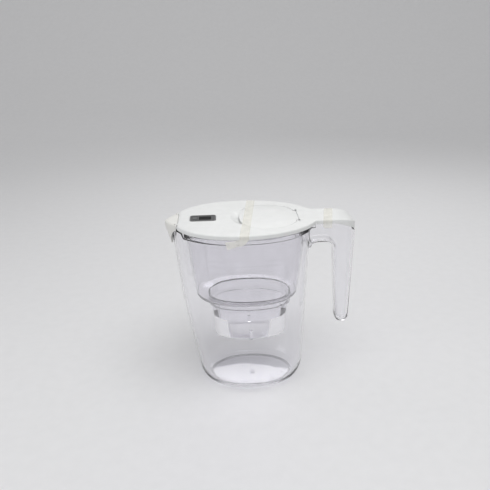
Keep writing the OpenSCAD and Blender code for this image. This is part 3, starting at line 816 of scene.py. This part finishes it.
def gate_mark(x, y, radius, z):
    """Mark of a gate in the floor: a low ring round a small boss."""
    steps = [(1.0, -0.6), (1.0, 0.05), (0.9, 0.25), (0.72, 0.25), (0.6, 0.08), (0.34, 0.08), (0.24, 0.32),
             (0.1, 0.4)]
    return loft("gate_mark", [circle(x, y, z + h, radius * r, 48) for r, h in steps])


class PITCHER_OT_jug(bpy.types.Operator):
    """Models the clear jug with its foot ring, pouring lip and hollow handle as one moulding"""
    bl_idname = "pitcher.jug"
    bl_label = "Jug"

    def execute(self, context):
        handle = handle_solid("handle", 0, JUG.grip_low)
        hollow = handle_solid("hollow", JUG.wall, JUG.grip_low + 3)
        middle = loft("middle", [wall_row(z, JUG.wall / 2) for z in span(60, SHOULDER, 12)]
                      + [ring(inset(wall_oval(JUG.rim), JUG.wall / 2), ABOVE)])
        cut(handle, hollow, above_handle(), middle)
        body = join(jug_body(), handle)
        floor = JUG.foot + JUG.wall
        join(body, gate_mark(2.3, -7.4, 4.5, floor),
                gate_mark(46, -11.3, 2.2, floor))
        wear(body, "jug", "jug_clear", "jug")
        return {'FINISHED'}


# Hopper

FLANGE_LOW = 238.6
FLANGE_HIGH = 244.9
FLANGE_OVAL = Oval(-100, 87.6, -9.7, 70.1, 2.15)
HOPPER_FRONT = -86
BASIN_TOP = Oval(-86, 77, -5, 66, 2.25)
BASIN_BOTTOM = Oval(-76, 67.5, -3.5, 56, 2.3)
BASIN_FOOT = Oval(-71.5, 63.5, -3.5, 51.5, 2.3)
BASIN_LOW = 148
MOUTH_OVAL = Oval(-56, 56, 0, 37, 2.3)
WELL_OVAL = Oval(-51.3, 51.3, 0, 28.8, 2.3)
SEAT_OVAL = Oval(-53.3, 53.3, 0, 32.3, 2.3)
RIB_COUNT = 7
RIB_RADIUS = 0.6


def basin_rows(d, ts):
    return [(*inset(between(BASIN_BOTTOM, BASIN_TOP, t ** 0.8), d), mix(BASIN_LOW, FLANGE_LOW, t))
            for t in ts]


def hopper_shell():
    w = HOPPER.wall
    low, seat, floor = HOPPER.well_low, HOPPER.seat, HOPPER.floor
    outside = [(*inset(WELL_OVAL, -w), low), (*inset(SEAT_OVAL, -w), seat - w - 1),
               (*inset(MOUTH_OVAL, -w), seat - w), (*inset(MOUTH_OVAL, -w), floor - w - 0.8),
               (*BASIN_FOOT, floor - w + 1.2), (*inset(BASIN_BOTTOM, 1.2), floor + 2.2)]
    flange = [(*FLANGE_OVAL, FLANGE_LOW), (*FLANGE_OVAL, FLANGE_HIGH), (*inset(BASIN_TOP, w), FLANGE_HIGH)]
    inside = [(*inset(BASIN_BOTTOM, w + 1.4), floor + 3.4), (*inset(BASIN_FOOT, w), floor + 1.2),
              (*MOUTH_OVAL, floor), (*MOUTH_OVAL, seat), (*SEAT_OVAL, seat - 1), (*WELL_OVAL, low + w),
              (*inset(WELL_OVAL, HOPPER.ledge), low + w), (*inset(WELL_OVAL, HOPPER.ledge), low)]
    ts = span(0, 1, 9)
    profile = outside + basin_rows(0, ts) + flange + basin_rows(w, ts[::-1]) + inside
    profile = profile + profile[:2]
    rows = rounded(profile, HOPPER.fillet)[1:-6]
    rings = [[place(max(x, HOPPER_FRONT), y, row[5]) for x, y in
              [oval_point(Oval(*row[:5]), a) for a in turns(RING)]] for row in rows]
    return loft("hopper_moulding", rings, closed=True)


def flange_rib(angle):
    """An upright rib on the flange's side with round ends."""
    x, y = oval_point(FLANGE_OVAL, angle)
    bends = [pi / 2 * t for t in span(0.1, 1, 4)]
    ends = ((FLANGE_LOW + 1, -1), (FLANGE_HIGH - 1, 1))
    return loft("flange_rib", [circle(x, y, z + sign * RIB_RADIUS * cos(a), RIB_RADIUS * sin(a), 12)
                               for z, sign in ends for a in bends[::-sign]])


class PITCHER_OT_hopper(bpy.types.Operator):
    """Models the clear hopper: flange with finger ribs, tapered basin, floor and stepped cartridge well"""
    bl_idname = "pitcher.hopper"
    bl_label = "Hopper"

    def execute(self, context):
        body = hopper_shell()
        for side in (-1, 1):
            for i in range(RIB_COUNT):
                join(body, flange_rib(side * radians(28 + 2 * i)))
            y = side * (WELL_OVAL.half + 0.4)
            z = HOPPER.well_low + 8
            join(body, block("well_key", (-2, y - 1.5, z - 6),
                                         (2, y + 1.5, z + 6)))
        wear(body, "hopper", "hopper_clear", "hopper")
        return {'FINISHED'}


# Lid

LID_FRONT = -95
LID_MIDDLE = -9.7
LID_FRONT_R = 91.3
LID_BACK_R = 98.7
LID_POWER = 2.15
BLEND_X = 30              # the handle cover's width blends in from here
BLEND_RUN = 60
COVER_START = 115
COVER_LENGTH = 30.4
COVER_POWER = 2.6
LID_END = 145
SKIRT_X = 112             # where the skirt begins to get deeper
SKIRT_RUN = 33
DROOP_X = 117
DROOP_R = 28.2
FLAP_OVAL = Oval(-12.5, 67, 20, 47, 2.3)
FLAP_AXIS = (65.4, 249.55)
FLAP_LEDGE = 2.7          # depth of the ledge that the fill flap lies on
FLAP_EAR = 18.4
SPOUT_AXIS = (-96.6, 249.35)
SPOUT_EAR = 19.4
EAR = 3.2
KNUCKLE = 1.45
PIN = 0.9
GAP = 0.3
SCOOP_X = 16
SCOOP_R = 100
SCOOP_CIRCLE = 40
BEZEL_X = -61.5
SPOUT_HALF = 28


def lid_half(x):
    """Half width of the lid at x, blended into the handle cover."""
    u = abs(x - LID_MIDDLE) / (LID_FRONT_R if x < LID_MIDDLE else LID_BACK_R)
    body = 0.0 if u >= 1 else LID.half * (1 - u ** LID_POWER) ** (1 / LID_POWER)
    past = max(0.0, (x - COVER_START) / COVER_LENGTH)
    end = (1 - past ** COVER_POWER) ** (1 / COVER_POWER)
    cover = LID.cover_half * smooth((x - BLEND_X) / BLEND_RUN) * end
    return (body ** 3 + cover ** 3) ** (1 / 3)


def lid_z(x):
    u = clamp((x - DROOP_X) / DROOP_R)
    return LID.top - LID.droop * (1 - sqrt(1 - u * u))


def lid_outline():
    """The lid's outline from above, in metres."""
    xs = [mix(LID_FRONT, 76, (1 - cos(pi * i / 64)) / 2) for i in range(65)]
    xs += span(78, 113, 20)
    xs += [mix(COVER_START, LID_END, sin(pi / 2 * i / 26)) for i in range(27)]
    points = [(x, -lid_half(x)) for x in xs] + [(x, lid_half(x)) for x in xs[::-1]]
    return [Vector((x * MM, y * MM)) for x, y in points]


def lid_ring(outline, d, dz, low=False):
    """The outline moved in by d, at dz below the top, and lower where the cover's skirt is deeper."""
    skirt = LID.skirt if low else 0.0
    row = []
    for i, p in enumerate(outline):
        before = (p - outline[i - 1]).normalized()
        after = (outline[(i + 1) % len(outline)] - p).normalized()
        m = Vector((-before.y - after.y, before.x + after.x))
        q = p + m * (2 * d * MM / max(m.dot(m), 1.5))
        deeper = skirt * smooth((p.x / MM - SKIRT_X) / SKIRT_RUN)
        row.append(place(q.x / MM, q.y / MM, lid_z(p.x / MM) - dz - deeper))
    return row


def lid_shell():
    outline = lid_outline()
    w, e, r = LID.wall, LID.edge, LID.round
    steps = [(w + 1.4, w), (w + 0.4, w + 0.3), (w, w + 1), (w, e - 0.3),
             (w - 0.3, e), (0.3, e), (0, e - 0.3)]
    steps += [(r - r * cos(t), r - r * sin(t)) for t in span(0, pi / 2, 7)]
    return loft("lid_moulding", [lid_ring(outline, d, dz, dz > e - 0.5) for d, dz in steps], strips=True)


def oval_loft(name, o, steps, count=144):
    """A solid through ovals: each step is how far the oval is inset, and its height."""
    return loft(name, [ring(inset(o, d), z, count) for d, z in steps])


def scoop_cap(name, extra, limit, top):
    """Part of the ball that presses the thumb scoop into the lid."""
    height = LID.top + sqrt(SCOOP_R ** 2 - SCOOP_CIRCLE ** 2)
    r = SCOOP_R + extra
    rims = [limit * t for t in span(0.03, 1, 22)]
    rings = [circle(SCOOP_X, 0, height - sqrt(r * r - rho * rho), rho, 144) for rho in rims]
    return loft(name, rings + [circle(SCOOP_X, 0, top, limit, 144)])


def rect_ring(x, l, w, r, z, steps=8):
    """A rectangle with round corners, centred on x."""
    row = []
    for k, (sx, sy) in enumerate(((1, 1), (-1, 1), (-1, -1), (1, -1))):
        for t in span(0, pi / 2, steps + 1):
            a = k * pi / 2 + t
            row.append(place(x + sx * (l / 2 - r) + r * cos(a), sy * (w / 2 - r) + r * sin(a), z))
    return row


def rect_loft(name, x, l, w, r, steps):
    return loft(name, [rect_ring(x, l - 2 * d, w - 2 * d, max(r - d, 0.05), z) for d, z in steps])


def lid_underside(body):
    under = LID.top - LID.wall + 0.4
    rib = inset(BASIN_TOP, 2.7)
    low = 241.5
    locating = oval_loft("locating_rib", rib, [(0.3, low), (0, low + 0.4), (0, under)])
    cut(locating, oval_loft("rib_inside", rib, [(1.6, low - 1), (1.6, under + 1)]))
    ledge_top = LID.top - FLAP_LEDGE
    ledge = oval_loft("flap_ledge", FLAP_OVAL, [(-2, ledge_top - 2), (-2, under)])
    bowl = scoop_cap("scoop_bowl", LID.wall, 42, under)
    collar = rect_loft("collar", BEZEL_X, INDICATOR.length + 2, INDICATOR.width + 2, 4.5,
                       [(0, 242.5), (0, under)])
    join(body, locating, ledge, bowl, collar)


def lid_openings(body):
    low = 236
    top = LID.top
    ledge_top = top - FLAP_LEDGE
    r = 0.35
    soft_edge = [(-0.4, top - r), (-0.4 - 0.3 * r, top - 0.3 * r), (-0.4 - r, top + 0.01)]
    seat = oval_loft("flap_seat", FLAP_OVAL, [(-0.4, ledge_top)] + soft_edge + [(-0.4 - r, top + 2)])
    hole = oval_loft("flap_hole", FLAP_OVAL, [(5, low), (5, top + 1.5)])
    scoop = scoop_cap("thumb_scoop", 0, SCOOP_CIRCLE + 4, top + 2.5)
    under_slot = block("under_slot", (52, -24, low), (67.3, 24, ledge_top + 1))
    barrel_slot = block("barrel_slot", (FLAP_AXIS[0] - 4, -FLAP_EAR, low), (67.3, FLAP_EAR, top + 1))
    module = rect_loft("module_hole", BEZEL_X, INDICATOR.length - 2, INDICATOR.width - 2, 3,
                       [(0, low), (0, top + 3)])
    seat_edge = [(0, top + 0.3 - 1.5), (0, top - r), (-0.3 * r, top - 0.3 * r), (-r, top + 0.01),
                 (-r, top + 2)]
    bezel_seat = rect_loft("bezel_seat", BEZEL_X, INDICATOR.length + 0.5, INDICATOR.width + 0.5, 4.2,
                           seat_edge)
    spout_room = block("spout_room", (LID_FRONT - 1, -27, low), (LID_FRONT + 3.5, 27, top - LID.wall))
    cut(body, scoop, seat, hole, under_slot, barrel_slot, module, bezel_seat, spout_room)


def hinge_ears(body, axis, ear_y):
    x, z = axis
    for side in (-1, 1):
        a, b = side * ear_y, side * (ear_y + EAR)
        ear = rod("ear", x, (a + b) / 2, z, KNUCKLE, EAR / 2)
        join(ear, block("ear_root", (x, min(a, b), z - KNUCKLE), (x + 3, max(a, b), z + KNUCKLE)))
        join(body, ear)
    cut(body, rod("pin_hole", x, 0, z, PIN + 0.05, 30))


class PITCHER_OT_lid(bpy.types.Operator):
    """Models the white lid with its handle cover, thumb scoop, flap seat, indicator seat and hinge ears"""
    bl_idname = "pitcher.lid"
    bl_label = "Lid"

    def execute(self, context):
        body = lid_shell()
        lid_underside(body)
        lid_openings(body)
        hinge_ears(body, FLAP_AXIS, FLAP_EAR)
        hinge_ears(body, SPOUT_AXIS, SPOUT_EAR)
        wear(body, "lid", "lid_white", "lid", angle=19)
        return {'FINISHED'}


# Flaps

def add_barrel(body, axis, ear_y):
    """The hinge barrel and pins of a flap, with room for the lid's ears."""
    x, z = axis
    for side in (-1, 1):
        y = side * (ear_y + EAR / 2)
        half = EAR / 2 + 0.35
        cut(body, block("ear_room", (x - 2.3, y - half, z - 5),
                                          (x + 2.3, y + half, z + 5)))
    join(body, rod("barrel", x, 0, z, KNUCKLE, ear_y - GAP),
            rod("pins", x, 0, z, PIN, ear_y - GAP + EAR))


def flap_rise(d):
    """Height of the fill flap's dome at d inside its edge."""
    return LID.dome * (1 - (1 - clamp(d / 30)) ** 2.2)


class PITCHER_OT_fill_flap(bpy.types.Operator):
    """Models the domed fill flap with its hinge barrel and pins"""
    bl_idname = "pitcher.fill_flap"
    bl_label = "Fill Flap"

    def execute(self, context):
        top = LID.top - 0.1
        low = top - 2.3
        r = 0.7
        steps = [(14, low + 0.9), (5.4, low + 0.55), (4.6, low + 0.3), (4, low),
                 (0.4, low), (0.12, low + 0.12), (0, low + 0.4)]
        steps += [(r - r * cos(t), top - r + r * sin(t)) for t in span(0, pi / 2, 6)]
        steps += [(d, top + flap_rise(d - r)) for d in span(1.4, 30, 18)]
        body = oval_loft("fill_flap_moulding", FLAP_OVAL, steps, RING)
        x, z = FLAP_AXIS
        cut(body, block("behind", (x, -24, z - 5), (x + 10, 24, z + 5)))
        add_barrel(body, FLAP_AXIS, FLAP_EAR)
        half = FLAP_EAR - GAP
        side = [(x - 0.6, z), (x + 1.6, z), (x + 1.7, z + 0.7), (x + 1.5, z + 1.1),
                (x + 1.2, z + 1.35), (x - 0.6, z + 1.42)]
        join(body, loft("hinge_lip", [[place(u, y, w) for u, w in side] for y in (-half, half)]))
        wear(body, "fill_flap", "lid_white", "fill_flap")
        return {'FINISHED'}


SPOUT_TOP = 250.8
SPOUT_EDGE = 2.6
SPOUT_ROUND = 4.2
SPOUT_REAR = -95.9
SPOUT_SIDE_X = -96.5
SPOUT_WALL = 1.8
APRON_LEAST = 3.5
APRON_DRAFT = 0.29        # how far the apron leans back, per height
APRON_TURN = 8            # depth below the top where it starts to


def spout_section(a, half, reach, top):
    """Points over the spout flap and down its apron, a share a of the way to its side."""
    x1 = SPOUT_SIDE_X - reach * (1 - abs(a) ** 1.35)
    edge = top - SPOUT_EDGE
    depth = APRON_LEAST + (LID.apron - APRON_LEAST - SPOUT_EDGE) * (1 - abs(a)) ** 1.3
    low = SPOUT_TOP - SPOUT_EDGE - depth
    run = SPOUT_REAR - x1
    r = min(SPOUT_ROUND, 0.45 * max(run, 0))
    points = [(SPOUT_REAR, top - 0.4), (SPOUT_REAR - min(0.4, 0.3 * max(run, 0)), top)]
    points += [(mix(SPOUT_REAR - 0.4, x1 + r, t), top) for t in (0.5, 1.0)]
    points += [(x1 + r - r * sin(t), edge + SPOUT_EDGE * cos(t)) for t in span(0, pi / 2, 7)[1:]]
    points += [(x1 + APRON_DRAFT * max(0.0, SPOUT_TOP - APRON_TURN - z), z) for z in span(edge, low, 14)[1:]]
    return [(x, a * half, z) for x, z in points]


class PITCHER_OT_spout_flap(bpy.types.Operator):
    """Models the spout flap: rounded top, pointed apron, hinge barrel and pins"""
    bl_idname = "pitcher.spout_flap"
    bl_label = "Spout Flap"

    def execute(self, context):
        reach = NOSE_REACH + SPOUT_SIDE_X
        rings = []
        for j in range(-40, 41):
            a = signed_power(j / 40, 1.15)
            outer = spout_section(a, SPOUT_HALF, reach, SPOUT_TOP)
            inner = spout_section(a, SPOUT_HALF - SPOUT_WALL, reach - SPOUT_WALL, SPOUT_TOP - SPOUT_WALL)
            rings.append([place(*p) for p in outer + inner[::-1]])
        body = loft("spout_flap_moulding", rings, strips=True)
        add_barrel(body, SPOUT_AXIS, SPOUT_EAR)
        wear(body, "spout_flap", "cap_white", "spout_flap")
        return {'FINISHED'}


# Indicator

WINDOW_X = -58.6
WINDOW_L = 16.4
WINDOW_W = 12.6
BUTTON_X = -72.3
INSIDE_NODES = {"switch_dome": "contact_metal", "lcd_panel": "lcd_dark", "contact_strips": "strip_black",
                "circuit_board": "board_green", "cell_clip_upper": "contact_metal",
                "coin_cell": "cell_steel", "cell_clip_lower": "contact_metal", "case_seal": "seal_rubber",
                "indicator_case": "case_white"}


def bezel_piece(top):
    l, w = INDICATOR.length, INDICATOR.width
    body, wall = 1.3, 1.3
    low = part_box("indicator_bezel")[0].z / MM
    e = 0.35
    rim = 1.5
    steps = [(body + wall, top - 1.5), (body + wall, low), (body, low), (body, top - 1.4), (0.1, top - 1.4),
             (0, top - 1.3), (0, top - e), (0.3 * e, top - 0.3 * e), (e, top), (rim - 0.25, top),
             (rim, top - 0.15), (rim + 0.1, top - INDICATOR.recess)]
    bezel = rect_loft("bezel", BEZEL_X, l, w, 4, steps)
    pocket = rect_loft("pocket", WINDOW_X, WINDOW_L, WINDOW_W, 1.2, [(0, top - 1), (0, top + 1)])
    sight = rect_loft("sight", WINDOW_X, WINDOW_L - 1.6, WINDOW_W - 1.6, 0.8,
                      [(0, top - 3), (0, top + 1)])
    hole = rod("key_hole", BUTTON_X, 0, top, INDICATOR.button / 2 + 0.3, 4, across=False, points=96)
    return cut(bezel, pocket, sight, hole)


def button_piece(top):
    """The key: a soft crown with a finger dish, its flange and its plunger."""
    r = INDICATOR.button / 2
    steps = [(1.5, -4.7), (1.5, -3.2), (r + 0.45, -3.2), (r + 0.45, -2.55), (r, -2.55), (r, -0.25),
             (r - 0.1, -0.05), (r - 0.35, 0.08), (r - 0.7, 0.1), (r - 1.2, 0.0), (r - 2.2, -0.1),
             (0.2, -0.14)]
    return loft("key", [circle(BUTTON_X, 0, top + h, q, 96) for q, h in steps])


class PITCHER_OT_indicator(bpy.types.Operator):
    """Models the indicator's bezel, window and key, and finishes the pieces inside it"""
    bl_idname = "pitcher.indicator"
    bl_label = "Indicator"

    def execute(self, context):
        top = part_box("indicator_bezel")[1].z / MM
        wear(bezel_piece(top), "lid", "bezel_grey", "indicator_bezel")
        e = 0.15
        window = rect_loft("window", WINDOW_X, WINDOW_L - 0.1, WINDOW_W - 0.1, 1.1,
                           [(0, top - 1), (0, top - 0.35 - e), (0.3 * e, top - 0.35 - 0.3 * e),
                            (e, top - 0.35)])
        wear(window, "lid", "window_smoke", "indicator_window")
        wear(button_piece(top), "start_button", "button_grey", "start_button")
        for node, slot in INSIDE_NODES.items():
            paint(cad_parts[node], slot)
        return {'FINISHED'}


# Packing tape

def flap_top(x, y):
    """Height of the fill flap's upper face over a point, or of the lid's top beside it."""

    def inside(d):
        o = inset(FLAP_OVAL, d)
        reach = o.middle - o.front if x < o.middle else o.back - o.middle
        return (abs(x - o.middle) / reach) ** o.power + (abs(y) / o.half) ** o.power < 1
    if not inside(0):
        return LID.top
    low, high = 0.0, 30
    for _ in range(24):
        d = (low + high) / 2
        low, high = (d, high) if inside(d) else (low, d)
    return max(LID.top, LID.top - 0.1 + flap_rise(low - 0.7))


def tape_sheet(name, rows, body, operation=None, tool=None):
    """Tape through rows of points across it, as thick as the film, and cut by a tool if there is one."""
    obj = added(name, bpy.ops.mesh.primitive_grid_add, x_subdivisions=len(rows[0]) - 1,
                y_subdivisions=len(rows) - 1, size=1)
    obj.data.vertices.foreach_set("co", [c for row in rows for p in row for c in place(*p)])
    apply_modifier(obj, 'SOLIDIFY', thickness=settings("tape").thick, offset=0)
    in_edit_mode(obj, lambda: bpy.ops.mesh.normals_make_consistent(inside=False))
    if tool:
        combine(obj, operation, tool)
    activate(obj)
    bpy.ops.object.shade_smooth_by_angle(angle=radians(50))
    paint(obj, "tape")
    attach(obj, body)


def lid_tape_x(y):
    """Middle of the strip over the lid: it lies a little askew."""
    return mix(-9.2, 7.2, clamp((y + 73) / 140))


def cover_tape_x(y):
    """Middle of the strip over the handle cover."""
    return 109 + 0.195 * y


def across_top(ys, tape_x, height, lift=0.09):
    """Rows of a strip across the lid's top."""
    half = TAPE.width / 2
    points = [[(tape_x(y) + half * s, y) for s in span(-1, 1, 9)] for y in ys]
    return [[(x, y, height(x, y) + lift) for x, y in row] for row in points]


def over_edge(tape_x, side, depth, lift=0.08):
    """Rows of a strip that turns over the lid's edge and hangs down beside it."""
    r = LID.round
    half = TAPE.width / 2
    x = tape_x(side * lid_half(tape_x(side * 30)))
    rows = []
    turns = [(sin(t) * (r + lift), cos(t) * (r + lift)) for t in span(0, pi / 2, 7)]
    for out, up in [(out - lift, up - r) for out, up in turns] + [(r, -h) for h in span(r + 0.6, depth, 6)]:
        rows.append([(x + half * s, side * (lid_half(x + half * s) - r + out + lift), lid_z(x) + up)
                     for s in span(-1, 1, 9)])
    return rows


def fan(top, low, y, y_low):
    """Rows from one line of X and Z to another, with the sheet leaning from y to y_low."""
    def along(line, t):
        k = min(int(t * (len(line) - 1)), len(line) - 2)
        return [mix(u, v, t * (len(line) - 1) - k) for u, v in zip(line[k], line[k + 1])]
    rows = []
    for share in span(0, 1, 5):
        points = [[mix(u, v, share) for u, v in zip(along(top, t), along(low, t))] for t in span(0, 1, 13)]
        rows.append([(x, mix(y, y_low, share), z) for x, z in points])
    return rows


class PITCHER_OT_tape(bpy.types.Operator):
    """Lays the packing tape over the lid and the handle cover, split along the edge of the fill flap"""
    bl_idname = "pitcher.tape"
    bl_label = "Packing Tape"

    def execute(self, context):

        def flap_prism(outside):
            return oval_loft("flap_prism", FLAP_OVAL, [(-outside, LID.top - 3), (-outside, LID.top + 5)])

        near = over_edge(lid_tape_x, -1, 4.8)
        far = over_edge(lid_tape_x, 1, 5.2)
        ends = [far[0][4][1], near[0][4][1]]
        rows = far[::-1] + across_top(span(*ends, 72)[1:-1], lid_tape_x, flap_top) + near
        tape_sheet("tape_lid", rows, "lid", 'DIFFERENCE', flap_prism(0.4))
        tape_sheet("tape_flap", across_top(span(50, -50, 52), lid_tape_x, flap_top), "fill_flap",
                   'INTERSECT', flap_prism(0))
        x, y, z = near[-1][4]
        half = TAPE.width / 2
        front = fan([(x - half, z), (x + half, z)],
                    [(-24.3, 244.4), (-18.8, 240.6), (-13.3, 236.8), (-7.1, 240.9)], y - 0.03, y + 0.3)
        tape_sheet("tape_fold", front, "lid")
        back = fan([(-33.1, 243.6), (-24.4, 244.3)], [(-30.7, 233.0), (-15.0, 237.4)], y + 0.2, y + 0.6)
        tape_sheet("tape_tab", back, "lid")
        sides = [over_edge(cover_tape_x, side, depth) for side, depth in ((1, 5.2), (-1, 9.5))]
        end = sides[1][-1]
        sides[1].append([(mix(end[2][0], end[-1][0], t), end[4][1], end[4][2] - 2) for t in span(0, 1, 9)])
        ys = span(sides[0][0][4][1], sides[1][0][4][1], 14)[1:-1]
        across = across_top(ys, cover_tape_x, lambda x, y: lid_z(x))
        tape_sheet("tape_cover", sides[0][::-1] + across + sides[1], "lid")
        return {'FINISHED'}


# Stage

CAMERA = (-37.1, -701.6, 505)
CAMERA_AIM = (0.0419, 0.9207, -0.3880)
CAMERA_ROLL = radians(1.09)
PHOTO_SIDE = 490
SENSOR = 36            # width of the camera's sensor, in millimetres
PHOTO_FOCAL = 550      # focal length in pixels of the photograph


def lamp(name, power, size, where, aim):
    obj = added(name, bpy.ops.object.light_add, type='AREA', location=where)
    obj.data.shape = 'RECTANGLE'
    obj.data.size, obj.data.size_y = size
    obj.data.energy = power
    obj.rotation_euler = (Vector(aim) - Vector(where)).to_track_quat('-Z', 'Y').to_euler()


class PITCHER_OT_stage(bpy.types.Operator):
    """Adds the pale floor, the soft lamps and a camera at the photograph's angle"""
    bl_idname = "pitcher.stage"
    bl_label = "Studio"

    def execute(self, context):
        stage = settings("stage")
        scene = bpy.context.scene
        floor = added("studio_floor", bpy.ops.mesh.primitive_grid_add, x_subdivisions=2,
                      y_subdivisions=24, size=1)
        for v in floor.data.vertices:
            # The floor runs back and then curves up into a backdrop
            t = v.co.y + 0.5
            turn = clamp((t - 0.55) / 0.3) * pi / 2
            y = mix(-2.5, 1.4, min(t / 0.55, 1)) + 1.2 * sin(turn)
            z = 1.2 * (1 - cos(turn)) + 2.5 * clamp((t - 0.85) / 0.15)
            v.co = Vector((v.co.x * 7, y, z))
        paint(floor, "floor")
        activate(floor)
        bpy.ops.object.shade_smooth()
        middle = (0, 0, 0.13)
        lamp("key_lamp", stage.key, (0.9, 0.7), (0.15, -0.35, 1.35), middle)
        lamp("fill_lamp", stage.fill, (0.7, 0.9), (-1.2, -0.6, 0.6), middle)
        lamp("rim_lamp", stage.rim, (1.1, 0.25), (0.3, 1.0, 0.9), middle)
        world = scene.world or bpy.data.worlds.new("World")
        scene.world = world
        world.use_nodes = True
        sky = world.node_tree.nodes['Background']
        sky.inputs['Color'].default_value = (1, 1, 1, 1)
        sky.inputs['Strength'].default_value = stage.sky
        camera = added("photo_camera", bpy.ops.object.camera_add)
        camera.data.sensor_width = SENSOR
        camera.data.lens = SENSOR * PHOTO_FOCAL / PHOTO_SIDE
        camera.data.clip_start = 0.01
        aim = Vector(CAMERA_AIM).to_track_quat('-Z', 'Y').to_matrix().to_4x4()
        camera.matrix_world = (Matrix.Translation(place(*CAMERA)) @ aim
                               @ Matrix.Rotation(-CAMERA_ROLL, 4, 'Z'))
        scene.camera = camera
        scene.view_settings.view_transform = 'Standard'
        return {'FINISHED'}


class PITCHER_PT_panel(bpy.types.Panel):
    """Lists the pitcher's pieces and sizes in the sidebar"""
    bl_idname = "PITCHER_PT_panel"
    bl_label = "Water Filter Pitcher"
    bl_space_type = 'VIEW_3D'
    bl_region_type = 'UI'
    bl_category = "Pitcher"

    def draw(self, context):
        for operator in OPERATORS:
            self.layout.operator(operator.bl_idname)
        for name, kind in GROUPS.items():
            box = self.layout.box()
            box.label(text=name.title())
            for prop in kind.__annotations__:
                box.prop(settings(name), prop, text=prop.replace("_", " ").capitalize())


OPERATORS = (PITCHER_OT_jug, PITCHER_OT_hopper, PITCHER_OT_lid, PITCHER_OT_fill_flap, PITCHER_OT_spout_flap,
             PITCHER_OT_indicator, PITCHER_OT_tape, PITCHER_OT_stage)


def register():
    for kind in (*GROUPS.values(), *OPERATORS, PITCHER_PT_panel):
        bpy.utils.register_class(kind)
    for name, kind in GROUPS.items():
        setattr(bpy.types.Scene, "pitcher_" + name, PointerProperty(type=kind))


def unregister():
    for name in GROUPS:
        delattr(bpy.types.Scene, "pitcher_" + name)
    for kind in (PITCHER_PT_panel, *OPERATORS[::-1], *list(GROUPS.values())[::-1]):
        bpy.utils.unregister_class(kind)


def main():
    register()
    bpy.ops.pitcher.jug()
    bpy.ops.pitcher.hopper()
    bpy.ops.pitcher.lid()
    bpy.ops.pitcher.fill_flap()
    bpy.ops.pitcher.spout_flap()
    bpy.ops.pitcher.indicator()
    bpy.ops.pitcher.tape()
    bpy.ops.pitcher.stage()


if __name__ == "__main__":
    main()
